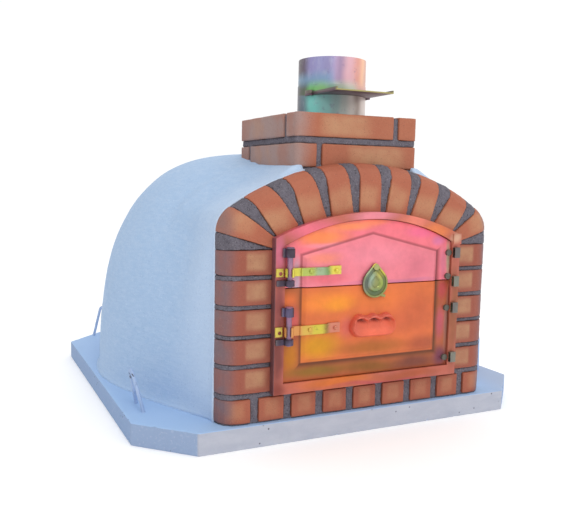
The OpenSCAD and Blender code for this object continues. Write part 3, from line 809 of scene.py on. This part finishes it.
def make_slab():
    points, normals = slab_outline(5 * MM, 5 * MM)
    top = SLAB_TOP
    # inset from the edge, height, and how far chips and waves may move the ring
    profile = [
        (70 * MM, top, 0.0),
        (9 * MM, top, 0.1),
        (3 * MM, top, 0.6),
        (1.2 * MM, top - 0.3 * MM, 1.0),
        (0.3 * MM, top - 1.2 * MM, 1.0),
        (0.1 * MM, top - 3.5 * MM, 0.8),
        (0.1 * MM, top - 10 * MM, 0.5),
        (0.1 * MM, top * 0.6, 0.4),
        (0.1 * MM, top * 0.4, 0.4),
        (0.1 * MM, 9 * MM, 0.5),
        (0.1 * MM, 3.0 * MM, 0.8),
        (0.3 * MM, 1.0 * MM, 1.0),
        (1.2 * MM, 0.2 * MM, 1.0),
        (3 * MM, 0.0, 0.6),
        (9 * MM, 0.0, 0.0),
    ]
    half = SLAB_HI.x
    rings = []
    for inset, height, worn in profile:
        ring = []
        for p, n in zip(points, normals):
            spot = Vector((p.x, p.y, height))
            wave = 0.5 + 0.5 * noise.noise(spot * 14)
            chip = max(0.0, noise.noise(spot * 62 + Vector((5, 1, 2))) - 0.32) * 5
            inward = worn * (0.5 * MM * wave + 1.4 * MM * chip)
            flat = Vector((p.x, p.y)) * (1 - inset / half) - n * inward
            drop = worn * 0.6 * MM * chip if height > top - 3 * MM else 0.0
            ring.append((flat.x, flat.y, height - drop))
        rings.append(ring)
    mesh = rings_mesh("slab", rings[::-1])
    smooth_by_angle(mesh, 28)
    return add_object("painted_slab", mesh)


# ---- rendered dome ---------------------------------------------------------


def longest_inside(inside, reach, count):
    """How far each ray from the centre goes before it leaves a shape."""
    low, high = np.zeros(count), np.full(count, reach)
    for _ in range(34):
        middle = (low + high) / 2
        within = inside(middle)
        low = np.where(within, middle, low)
        high = np.where(within, high, middle)
    return low


def barrel_half_width(z, y):
    """Half width of the arched barrel behind the brick front, at a height and depth."""
    share = min(max((y - SHELL_LO.y) / (FLARE_END_Y - SHELL_LO.y), 0), 1)
    low = np.clip(1 - z / SPRING, 1e-3, 1)
    spread = (max(share, 1e-3) ** -4 + low**-4) ** -0.25
    upright = FRONT_HALF + FLARE * spread
    inner = FRONT_HALF - HAUNCH_R
    crown_r = (inner**2 + ARCH_RISE**2 - HAUNCH_R**2) / (2 * (ARCH_RISE - HAUNCH_R))
    over = z - SPRING
    lean = math.asin(inner / (crown_r - HAUNCH_R))
    haunch = inner + np.sqrt(np.maximum(HAUNCH_R**2 - over**2, 0))
    crown = np.sqrt(np.maximum(crown_r**2 - (over - ARCH_RISE + crown_r) ** 2, 0))
    arch = np.where(over < HAUNCH_R * math.cos(lean), haunch, crown)
    arch = np.where(over > ARCH_RISE, -1.0, arch)
    return np.where(over < 0, upright, arch)


def shell_section(y, angles):
    """Outline of the rendered body at depth y, as distances from its centre line."""
    across, up = np.cos(angles), np.sin(angles)
    radius = SHELL_HI.x
    height = SHELL_HI.z - SLAB_TOP

    def in_dome(r):
        out = np.hypot(r * across, y) / radius
        return out**DOME_POWER_OUT + (r * up / height) ** DOME_POWER_UP < 1

    def in_barrel(r):
        return np.abs(r * across) <= barrel_half_width(r * up, y)

    dome = longest_inside(in_dome, 1.0, len(angles))
    barrel = longest_inside(in_barrel, 1.0, len(angles))
    fade = min(max((y - FLARE_END_Y) / 0.15, 0), 1)
    barrel = barrel * (1 - 0.35 * fade * fade * (3 - 2 * fade))
    blend = 55 * MM
    near = np.maximum(blend - np.abs(dome - barrel), 0) / blend
    return np.maximum(dome, barrel) + near * near * blend / 4


def fillet_by_chimney(x, y, z):
    """Lifts the render where it is trowelled up against the chimney's sides."""
    if z < SPRING:
        return x, y, z
    beside = max(abs(x) - CHIMNEY_HI.x, 0)
    behind = max(y - CHIMNEY_HI.y, 0)
    away = math.hypot(beside, behind)
    level = CHIMNEY_FOOT + (4 + 4 * min(max((y - CHIMNEY_LO.y) / CHIMNEY_DEEP, 0), 1)) * MM
    ahead = min(max((SHELL_LO.y - y) / (8 * MM), 0), 1)
    share = max(0.0, 1 - away / FILLET_REACH) ** 2 * (1 - ahead)
    raised = z + max(level - z, 0) * share
    blob = math.exp(-((x + CHIMNEY_HI.x) ** 2 + (y - CHIMNEY_LO.y) ** 2) / (14 * MM) ** 2)
    return x, y, raised + 1.0 * MM * blob * (1 - ahead)


def make_render_shell():
    quarter, front_rows, back_rows = 90, 58, 100
    angles = np.linspace(0, math.pi, 2 * quarter + 1)
    rows = []
    collar = [SHELL_LO.y - d * MM for d in (15, 13, 8, 4)]
    front_rows += len(collar)
    for y in collar + list(np.linspace(SHELL_LO.y, 0, front_rows + 1 - len(collar))):
        r = shell_section(max(y, SHELL_LO.y), angles)
        lap = np.clip((SHELL_LO.y + 20 * MM - y) / (20 * MM), 0, 1)
        r = r + lap * COLLAR_T * (1.0 if y > collar[0] else 0.6)
        x, z = r * np.cos(angles), r * np.sin(angles)
        lift = np.maximum(1 - z / COVE, 0) ** 2.4
        x = x + np.sign(x) * lift * 10 * MM * min(1, max(0, y - SHELL_LO.y) / 0.08)
        rows.append([(a, y, b) for a, b in zip(x, z)])
    centre = rows[-1]
    points = [p for row in rows for p in row]
    width = len(angles)
    faces = [
        (r * width + i, r * width + i + 1, (r + 1) * width + i + 1, (r + 1) * width + i)
        for r in range(front_rows)
        for i in range(width - 1)
    ]
    # the back half turns the same profile round from the right side to the left
    first = front_rows * width
    previous = [first + i for i in range(quarter + 1)]
    pole = first + quarter
    for k in range(1, back_rows + 1):
        turn = math.pi * k / back_rows
        if k == back_rows:
            current = [first + 2 * quarter - i for i in range(quarter + 1)]
        else:
            current = []
            for i in range(quarter):
                px, _, pz = centre[i]
                points.append((px * math.cos(turn), px * math.sin(turn), pz))
                current.append(len(points) - 1)
            current.append(pole)
        for i in range(quarter - 1):
            faces.append((previous[i], previous[i + 1], current[i + 1], current[i]))
        faces.append((previous[quarter - 1], pole, current[quarter - 1]))
        previous = current
    points = [fillet_by_chimney(*p) for p in points]
    points = [(x, y, z + SLAB_TOP - (1.5 * MM if z < 1e-6 else 0)) for x, y, z in points]
    mesh = mesh_from("render_shell_skin", points, faces)

    bm = bmesh.new()
    bm.from_mesh(mesh)
    under = [
        f
        for f in bm.faces
        if abs(f.calc_center_median().x) < CHIMNEY_HI.x - CHIMNEY_INSET
        and f.calc_center_median().z > SLAB_TOP + SPRING
        and f.calc_center_median().y < CHIMNEY_HI.y - CHIMNEY_INSET
    ]
    bmesh.ops.delete(bm, geom=under, context="FACES")
    side = max(bm.faces, key=lambda f: f.calc_center_median().x)
    if side.normal.x < 0:
        bmesh.ops.reverse_faces(bm, faces=bm.faces)
    bm.to_mesh(mesh)
    bm.free()
    mesh.shade_smooth()
    roughen(mesh, (1.5 * MM, 7), (0.5 * MM, 26))
    piece = add_object("rendered_dome", mesh)
    wall = piece.modifiers.new("wall", "SOLIDIFY")
    wall.thickness = RENDER_T - 3 * MM
    wall.offset = -1
    return piece


# ---- masonry ---------------------------------------------------------------


def islands(mesh):
    """The separate solids of a CAD node, each as an array of its corners."""
    bm = bmesh.new()
    bm.from_mesh(mesh)
    bmesh.ops.remove_doubles(bm, verts=bm.verts, dist=0.01 * MM)
    seen, found = set(), []
    for start in bm.verts:
        if start in seen:
            continue
        seen.add(start)
        group, queue = [], [start]
        while queue:
            v = queue.pop()
            group.append(v)
            for e in v.link_edges:
                other = e.other_vert(v)
                if other not in seen:
                    seen.add(other)
                    queue.append(other)
        edges = [e for v in group for e in v.link_edges]
        longest = max(edges, key=lambda e: flat_length(e))
        found.append((np.array([v.co for v in group], float), edge_direction(longest)))
    bm.free()
    return found


def flat_length(edge):
    """An edge's length seen from the front."""
    d = edge.verts[1].co - edge.verts[0].co
    return math.hypot(d.x, d.z)


def edge_direction(edge):
    d = edge.verts[1].co - edge.verts[0].co
    return np.array([d.x, d.z]) / math.hypot(d.x, d.z)


def brick_frames(node, turned):
    """Centre, two axes and half sizes of each brick, seen from the front."""
    frames = []
    for corners, direction in islands(NODES[node].data):
        long_axis = direction if turned else np.array([1.0, 0.0])
        across = np.array([-long_axis[1], long_axis[0]])
        flat = corners[:, [0, 2]]
        u, v = flat @ long_axis, flat @ across
        frames.append(
            {
                "axes": (long_axis, across),
                "middle": ((u.max() + u.min()) / 2, (v.max() + v.min()) / 2),
                "half": ((u.max() - u.min()) / 2, (v.max() - v.min()) / 2),
                "y": (corners[:, 1].min(), corners[:, 1].max()),
            }
        )
    return frames


def smooth_step(values, low, high):
    t = np.clip((values - low) / (high - low), 0, 1)
    return t * t * (3 - 2 * t)


def store(mesh, name, values):
    mesh.attributes.new(name, "FLOAT", "POINT").data.foreach_set(
        "value", np.asarray(values, np.float32)
    )


def worn_bricks(node, voxel):
    """A brick node's surface with soft edges and a grain, from voxels of this many mm."""
    mesh = remeshed(node, voxel * MM, 2)
    roughen(mesh, (0.6 * MM, 30), (0.3 * MM, 150))
    return mesh


def make_bricks(node, material, turned=False, patch=(-0.12, 0.02, 0.55, 0.9)):
    """Bricks with worn edges. patch: where the pale patch starts and ends along a brick."""
    mesh = worn_bricks(node, 2.0)
    points = coordinates(mesh)
    frames = brick_frames(node, turned)
    best = np.full(len(points), 1e9)
    along = np.zeros(len(points))
    up = np.zeros(len(points))
    tone = np.zeros(len(points))
    for f in frames:
        u = (points[:, [0, 2]] @ f["axes"][0] - f["middle"][0]) / f["half"][0]
        v = (points[:, [0, 2]] @ f["axes"][1] - f["middle"][1]) / f["half"][1]
        away = np.maximum(np.abs(u), np.abs(v))
        middle_y = (f["y"][0] + f["y"][1]) / 2
        away = away + np.abs(points[:, 1] - middle_y) * 2
        mine = away < best
        best[mine] = away[mine]
        along[mine], up[mine] = u[mine], v[mine]
        tone[mine] = random.random() * 0.5
    side = np.sign(points[:, 0])
    out = along * side if not turned else along * np.sign(points[:, 2])
    # where the pale patch, dust with a painted sheen, lies on each brick
    shine = smooth_step(-out, patch[0], patch[1]) * (1 - smooth_step(-out, patch[2], patch[3]))
    shine *= 1 - smooth_step(np.abs(up - 0.1), 0.4, 0.95)
    # painted shade on the rounded outer ends of the front, which turn away from the light
    nose_shade = smooth_step(np.abs(points[:, 0]), FRONT_HALF - NOSE_R, FRONT_HALF - 0.15 * NOSE_R)
    store(mesh, "sheen_and_dust", shine)
    store(mesh, "tone", tone)
    store(mesh, "painted_shade", nose_shade)
    return dress(node, mesh, "brick", material)


def make_chimney_bricks(node, material):
    """Chimney bricks: the pale patches run along whichever face is seen."""
    mesh = worn_bricks(node, 2.3)
    points = coordinates(mesh)
    best = np.full(len(points), 1e9)
    shine, tone = np.zeros(len(points)), np.zeros(len(points))
    for corners, _ in islands(NODES[node].data):
        low, high = corners.min(0), corners.max(0)
        middle, half = (low + high) / 2, (high - low) / 2
        share = (points - middle) / half
        away = np.abs(share).max(1)
        mine = away < best
        best[mine] = away[mine]
        long_side = 0 if half[0] > half[1] else 1
        u = share[:, long_side]
        start = random.uniform(-0.7, -0.4)
        width = random.uniform(0.8, 1.1)
        glow = smooth_step(u, start, start + 0.25)
        glow *= 1 - smooth_step(u, start + width, start + width + 0.35)
        glow *= 1 - 0.7 * smooth_step(np.abs(share[:, 2]), 0.5, 1.0)
        shine[mine] = glow[mine]
        tone[mine] = random.random() * 0.5
    # the pale patch on each chimney brick is dust with a painted sheen
    store(mesh, "sheen_and_dust", shine)
    store(mesh, "tone", tone)
    # painted shade toward the chimney's left side
    store(mesh, "painted_shade", smooth_step(-points[:, 0], 0.10, CHIMNEY_HI.x))
    return dress(node, mesh, "brick", material)


def make_mortar(node, material):
    mesh = remeshed(node, (3.0) * MM, 2)
    roughen(mesh, (1.0 * MM, 60), (0.9 * MM, 170))
    return dress(node, mesh, "mortar", material)


# ---- door ironwork ---------------------------------------------------------


def panel_outline(bm):
    """Corners of a leaf's raised panel, going round it, and where the leaves meet."""
    face = [v.co for v in bm.verts if abs(v.co.y - PANEL_Y) < 0.05 * MM]
    right = max(p.x for p in face)
    top, bottom = max(p.z for p in face), min(p.z for p in face)
    at_side = [p.z for p in face if abs(p.x - right) < 0.2 * MM]
    shoulder = max(at_side)
    corners = [(-right, bottom), (right, bottom), (right, shoulder)]
    if top - shoulder > 1 * MM:
        corners.append((0.0, top))
    corners.append((-right, shoulder))
    meeting = bottom if top - shoulder > 1 * MM else top
    return corners, meeting


def slope_panel(bm):
    """Draws the panel's front face in, so that its sides slope like pressed sheet."""
    corners, meeting = panel_outline(bm)
    sides = []
    for i, a in enumerate(corners):
        b = corners[(i + 1) % len(corners)]
        length = math.hypot(b[0] - a[0], b[1] - a[1])
        normal = ((b[1] - a[1]) / length, -(b[0] - a[0]) / length)
        level = abs(a[1] - meeting) < 0.1 * MM and abs(b[1] - meeting) < 0.1 * MM
        sides.append((normal, normal[0] * a[0] + normal[1] * a[1], 0.0 if level else PANEL_SLOPE))
    for v in bm.verts:
        if abs(v.co.y - PANEL_Y) > 0.05 * MM:
            continue
        x, z = v.co.x, v.co.z
        on = [s for s in sides if abs(s[0][0] * x + s[0][1] * z - s[1]) < 0.2 * MM]
        if len(on) == 1:
            (nx, nz), _, move = on[0]
            v.co.x, v.co.z = x - nx * move, z - nz * move
        elif len(on) == 2:
            (a, b), (c, d) = on[0][0], on[1][0]
            p, q = on[0][1] - on[0][2], on[1][1] - on[1][2]
            scale = a * d - b * c
            v.co.x, v.co.z = (p * d - b * q) / scale, (a * q - p * c) / scale
    bm.normal_update()

    def on_slope(edge):
        ends = [v.co for v in edge.verts]
        inside = all(abs(p.x) < 0.175 and p.y < PANEL_Y + 6.2 * MM for p in ends)
        bend = edge.calc_face_angle(0) if len(edge.link_faces) == 2 else 0
        return inside and math.radians(15) < bend < math.radians(60)

    bevel_edges(bm, on_slope, 2.4 * MM, 3)


def make_latch(material):
    """Teardrop plate with a raised rim and a plain raised teardrop in its middle."""
    thick = 4 * MM
    pivot = Vector((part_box("latch_pivot")[0].x + 7 * MM, 0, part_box("latch_pivot")[0].z + 7 * MM))
    radius, drop, tip = LATCH_R, LATCH_DROP, LATCH_TIP
    lean = math.acos((radius - tip) / drop)
    turn = math.pi / 2 - lean
    outline = []
    for i in range(17):
        a = turn + (math.pi - 2 * turn) * i / 16
        outline.append((tip * math.cos(a), tip * math.sin(a)))
    for i in range(81):
        a = math.pi - turn + (math.pi + 2 * turn) * i / 80
        outline.append((radius * math.cos(a), -drop + radius * math.sin(a)))
    back = LATCH_HI.y
    front = back - thick
    # share of the outline, and depth
    profile = [
        (0.985, back),
        (1.0, back - 0.8 * MM),
        (1.0, front + 0.8 * MM),
        (0.975, front),
        (0.93, front - 0.6 * MM),
        (0.88, front),
        (0.85, front + 1.9 * MM),
        (0.64, front + 1.9 * MM),
        (0.61, front + 0.6 * MM),
        (0.56, front - 1.2 * MM),
        (0.40, front - 1.6 * MM),
        (0.36, front - 0.8 * MM),
        (0.31, front + 1.2 * MM),
        (0.10, front + 1.0 * MM),
    ]
    rings = []
    for share, depth in profile:
        centre = -drop * 0.94
        rings.append(
            [
                (pivot.x + x * share, depth, pivot.z + centre + (z - centre) * share)
                for x, z in outline
            ]
        )
    mesh = rings_mesh("latch", rings)
    bm = bmesh.new()
    bm.from_mesh(mesh)
    bmesh.ops.recalc_face_normals(bm, faces=bm.faces)
    lip = bmesh.ops.create_cube(bm, size=1)["verts"]
    for v in lip:
        v.co = Vector(
            (
                pivot.x + 20 * MM + v.co.x * 13 * MM,
                front + 2 * MM + v.co.y * 3.4 * MM,
                pivot.z - drop - radius + 4.2 * MM + v.co.z * 6 * MM - v.co.x * 3 * MM,
            )
        )
    bevel_edges(bm, lambda e: all(v in lip for v in e.verts), 1.1 * MM, 2)
    bm.to_mesh(mesh)
    bm.free()
    smooth_by_angle(mesh, 40)
    return finish_piece(
        add_object("latch_plate", mesh), "latch", "strap_steel", material, "teardrop_latch"
    )


def make_grip(material):
    """Cast grip: a rounded pad with three finger hollows under a lobed top rim."""
    centre_x = (GRIP_LO.x + GRIP_HI.x) / 2
    centre_z = (GRIP_LO.z + GRIP_HI.z) / 2
    half_w = (GRIP_HI.x - GRIP_LO.x) / 2
    half_h = (GRIP_HI.z - GRIP_LO.z) / 2
    body_r = half_h - 2 * MM
    tall = GRIP_HI.y - GRIP_LO.y
    lobes = [-34 * MM, 0.0, 34 * MM]
    lobe_r = 16 * MM

    def depth_inside(x, z):
        """Distance inside the outline, in metres, negative outside."""
        side = max(abs(x) - (half_w - body_r), 0)
        pad = body_r - math.hypot(side, z + 2 * MM)
        tops = [lobe_r - math.hypot(x - c, z - (half_h - lobe_r)) for c in lobes]
        return max(pad, *tops)

    def scoop(x, z):
        """Share of its full depth that the nearest finger hollow has here."""
        deepest = 0.0
        for c in lobes:
            u = (x - c * 0.95) / (16 * MM)
            brow = half_h - (7.5 + 6 * u * u + 2.5 * u) * MM
            below = (brow - z) / (22 * MM)
            if 0 < below < 1 and abs(u) < 1:
                share = math.sqrt(1 - u * u) * min(1, 7 * below) * (1 - below)
                deepest = max(deepest, share)
        return deepest

    def height(x, z):
        inside = max(depth_inside(x, z), 0)
        edge = min(inside / (6.5 * MM), 1)
        rise = tall * (0.82 * math.sqrt(1 - (1 - edge) ** 2))
        rim = math.exp(-(((inside - 5.5 * MM) / (3.2 * MM)) ** 2))
        rise += tall * 0.18 * rim
        return max(rise - tall * 0.72 * scoop(x, z) * edge, 0.0)

    rings, spokes = 26, 132
    points, faces = [], []
    base_y = GRIP_HI.y
    points.append((centre_x, base_y - height(0, 0), centre_z))
    for k in range(1, rings + 1):
        share = 1 - (1 - k / rings) ** 1.5
        for i in range(spokes):
            a = 2 * math.pi * i / spokes
            dx, dz = math.cos(a), math.sin(a)
            low, high = 0.0, 0.08
            for _ in range(24):
                middle = (low + high) / 2
                if depth_inside(dx * middle, dz * middle) > 0:
                    low = middle
                else:
                    high = middle
            x, z = dx * low * share, dz * low * share
            lift = height(x, z) if k < rings else 0.0
            points.append((centre_x + x, base_y - lift, centre_z + z))
    for i in range(spokes):
        j = (i + 1) % spokes
        faces.append((0, 1 + i, 1 + j))
        for k in range(rings - 1):
            a, b = 1 + k * spokes, 1 + (k + 1) * spokes
            faces.append((a + i, b + i, b + j, a + j))
    last = 1 + (rings - 1) * spokes
    faces.append(tuple(range(last + spokes - 1, last - 1, -1)))
    mesh = mesh_from("grip", points, faces)
    depths = [scoop(x - centre_x, z - centre_z) for x, _, z in points]
    # how deep in a finger hollow each point lies, for its painted shadow
    store(mesh, "hollow", 0.85 * smooth_step(np.array(depths), 0.4, 0.85))
    bm = bmesh.new()
    bm.from_mesh(mesh)
    bmesh.ops.recalc_face_normals(bm, faces=bm.faces)
    bm.to_mesh(mesh)
    bm.free()
    smooth_by_angle(mesh, 60)
    return finish_piece(
        add_object("grip_cast", mesh), "lower_leaf", "tinted_iron", material, "finger_grip"
    )


def dress_straps():
    """Both straps with their rivets, and the plates that they lie against."""
    bands = {
        "upper": [(-232, (216, 206, 84)), (-170, (176, 190, 96)), (-135, (156, 178, 140)),
                  (-112, (120, 150, 96)), (-102, (222, 208, 88))],
        "lower": [(-232, (214, 150, 88)), (-165, (212, 176, 84)), (-140, (206, 192, 74)),
                  (-112, (150, 120, 60)), (-102, (206, 130, 108))],
    }
    for side, colours in bands.items():
        look = strap_finish(side + "_strap_tint", colours)
        for part in ("_strap", "_strap_rivets"):
            dress_cad(side + part, 0.5, side + "_leaf", "strap_steel", look)
    plates = strap_finish("hinge_plate_tint", [(-232, (214, 196, 86)), (-220, (196, 176, 84))])
    dress_cad("hinge_plates", 0.5, "oven", "strap_steel", plates)


def dress_dark_iron():
    pins = dark_metal("pin_bloom", srgb(112, 92, 116), srgb(150, 132, 156), srgb(170, 120, 150))
    lugs = dark_metal("lug_bloom", srgb(46, 40, 52), srgb(84, 70, 84), srgb(96, 88, 120))
    catch = dark_metal("catch_bloom", srgb(38, 34, 34), srgb(76, 68, 62), srgb(102, 104, 82))
    dress_cad("upper_hinge_pin", 1.2, "oven", "dark_iron", pins)
    dress_cad("lower_hinge_pin", 1.2, "oven", "dark_iron", pins)
    dress_cad("hinge_lugs", 1.4, "oven", "dark_iron", lugs)
    dress_cad("door_keepers", 1.2, "oven", "dark_iron", catch)


def make_ironwork():
    dress_cad("door_frame", 1.6, "oven", "tinted_iron", frame_finish(), segments=3)
    for side, look in (("upper", upper_leaf_finish()), ("lower", lower_leaf_finish())):
        dress_cad(side + "_door", 0.9, side + "_leaf", "tinted_iron", look, special=slope_panel)
    dress_straps()
    dress_dark_iron()
    rivet = strap_finish("pivot_tint", [(-30, (188, 186, 130)), (0, (170, 170, 110))])
    dress_cad("latch_pivot", 1.0, "upper_leaf", "strap_steel", rivet, segments=3)
    make_latch(latch_finish())
    make_grip(grip_finish())


# ---- flue ------------------------------------------------------------------


def make_flue():
    dress_cad("flue_pipe", 0.35, "oven", "passivated_steel", flue_finish())
    dress_cad("damper_guides", 0.8, "oven", "passivated_steel", damper_finish())
    dress_cad("damper_plate", 0.5, "damper", "passivated_steel", damper_finish())


# ---- camera, light and floor -----------------------------------------------


def make_camera():
    """The photograph's viewpoint: low, to the left of the front."""
    data = bpy.data.cameras.new("camera")
    data.sensor_width = 36
    data.lens = CAMERA_LENS
    data.clip_start = 0.05
    data.clip_end = 60
    camera = bpy.data.objects.new("camera", data)
    bpy.context.scene.collection.objects.link(camera)
    camera.location = CAMERA_PLACE
    forward = Vector(CAMERA_FORWARD)
    right = Vector(CAMERA_RIGHT)
    up = right.cross(forward).normalized()
    right = forward.cross(up).normalized()
    axes = Matrix((right, up, -forward.normalized())).transposed()
    camera.rotation_mode = "QUATERNION"
    camera.rotation_quaternion = axes.to_quaternion()
    data.shift_x = CAMERA_SHIFT
    bpy.context.scene.camera = camera


def make_light(name, place, size, power, tint):
    data = bpy.data.lights.new(name, "AREA")
    data.shape = "DISK"
    data.size = size
    data.energy = power
    data.color = tint
    lamp = bpy.data.objects.new(name, data)
    bpy.context.scene.collection.objects.link(lamp)
    lamp.location = place
    aim = Vector((0, 0, 0.3)) - Vector(place)
    lamp.rotation_mode = "QUATERNION"
    lamp.rotation_quaternion = aim.to_track_quat("-Z", "Y")


def dim_to_the_left(tree):
    """White surroundings that light the oven a little less from its left."""
    direction = tree.nodes.new("ShaderNodeTexCoord")
    split = tree.nodes.new("ShaderNodeSeparateXYZ")
    tree.links.new(direction.outputs["Generated"], split.inputs[0])
    ramp = tree.nodes.new("ShaderNodeMapRange")
    ramp.inputs["From Min"].default_value = -1.0
    ramp.inputs["From Max"].default_value = 0.1
    ramp.inputs["To Min"].default_value = 0.5
    ramp.inputs["To Max"].default_value = WHITE
    tree.links.new(split.outputs["X"], ramp.inputs["Value"])
    light = tree.nodes["Background"]
    light.inputs["Color"].default_value = (1.0, 1.0, 1.0, 1)
    tree.links.new(ramp.outputs["Result"], light.inputs["Strength"])
    backdrop = tree.nodes.new("ShaderNodeBackground")
    backdrop.inputs["Color"].default_value = (1.0, 1.0, 1.0, 1)
    backdrop.inputs["Strength"].default_value = WHITE
    seen = tree.nodes.new("ShaderNodeLightPath").outputs["Is Camera Ray"]
    choice = tree.nodes.new("ShaderNodeMixShader")
    tree.links.new(seen, choice.inputs[0])
    tree.links.new(light.outputs[0], choice.inputs[1])
    tree.links.new(backdrop.outputs[0], choice.inputs[2])
    tree.links.new(choice.outputs[0], tree.nodes["World Output"].inputs["Surface"])


def make_stage():
    size = FLOOR_HALF
    corners = [(-size, -size, 0), (size, -size, 0), (size, size, 0), (-size, size, 0)]
    mesh = mesh_from("floor", corners, [(0, 1, 2, 3)])
    floor = add_object("floor", mesh)
    f = Finish("pale_floor", roughness=0.9, specular=0.1)
    f.shader.inputs["Emission Color"].default_value = (1, 1, 1, 1)
    f.shader.inputs["Emission Strength"].default_value = 0.16
    f.colour = f.mix(f.noise(2, 2), srgb(248, 248, 249), srgb(252, 252, 253))
    mesh.materials.append(f.done())
    world = bpy.data.worlds.new("soft_light")
    world.use_nodes = True
    dim_to_the_left(world.node_tree)
    bpy.context.scene.world = world
    make_light("key", (-0.7, -2.6, 3.2), 1.1, 27, (1.0, 0.96, 0.9))
    make_light("top", (-0.6, 0.2, 3.4), 3.0, 6, (0.95, 0.98, 1.0))
    bpy.context.scene.view_settings.view_transform = "Standard"


# ---- assembly --------------------------------------------------------------


def dress_hidden_parts():
    """Parts seen only through the open door or not at all keep their CAD shape."""
    looks = {
        "hearth_insulation": plain_mineral("bed", srgb(196, 190, 170), srgb(214, 208, 190), 40, 1 * MM),
        "hearth_tiles": plain_mineral("tiles", srgb(206, 178, 134), srgb(224, 200, 158), 30, 0.8 * MM),
        "refractory_dome": plain_mineral("castable", srgb(176, 164, 146), srgb(202, 192, 174), 16, 1.6 * MM),
        "insulation_layer": plain_mineral("loose_fill", srgb(206, 200, 180), srgb(226, 220, 204), 60, 2 * MM),
        "frame_anchors": plain_steel(),
    }
    for node, look in looks.items():
        mesh = NODES[node].data
        mesh.materials.clear()
        mesh.materials.append(look)


def make_masonry():
    pale = srgb(178, 130, 97)
    # the last colour of each brick look is its painted shade
    shade_tint = srgb(120, 98, 104)
    pillar = fired_brick("pillar_brick", srgb(148, 79, 62), srgb(158, 91, 74), pale, shade_tint)
    for node in ("left_pillar_bricks", "right_pillar_bricks"):
        make_bricks(node, pillar)
    foot = fired_brick(
        "foot_brick", srgb(158, 84, 62), srgb(168, 98, 74), srgb(174, 112, 82), shade_tint
    )
    make_bricks("bottom_course_bricks", foot, patch=(-0.7, -0.3, 0.3, 0.8))
    arch = fired_brick(
        "arch_brick", srgb(168, 92, 68), srgb(178, 108, 80), srgb(184, 128, 94), srgb(142, 108, 102)
    )
    make_bricks("arch_bricks", arch, turned=True, patch=(-0.3, 0.2, 0.5, 1.0))
    stack = fired_brick(
        "chimney_brick", srgb(168, 98, 72), srgb(176, 110, 82), srgb(184, 134, 100),
        srgb(160, 132, 126),
    )
    for node in ("chimney_lower_bricks", "chimney_upper_bricks"):
        make_chimney_bricks(node, stack)
    mortar = dark_mortar()
    for node in ("front_mortar", "chimney_mortar"):
        make_mortar(node, mortar)


finish_piece(make_slab(), "oven", "painted_concrete", painted_concrete(), "base_slab")
finish_piece(make_render_shell(), "oven", "painted_render", painted_render(), "render_shell")
loops = add_object("painted_loops", remeshed("lifting_loops", 1.1 * MM, 3))
roughen(loops.data, (0.35 * MM, 90))
finish_piece(loops, "oven", "painted_bar", painted_bar(), "lifting_loops")
make_masonry()
make_flue()
make_ironwork()
dress_hidden_parts()
make_camera()
make_stage()
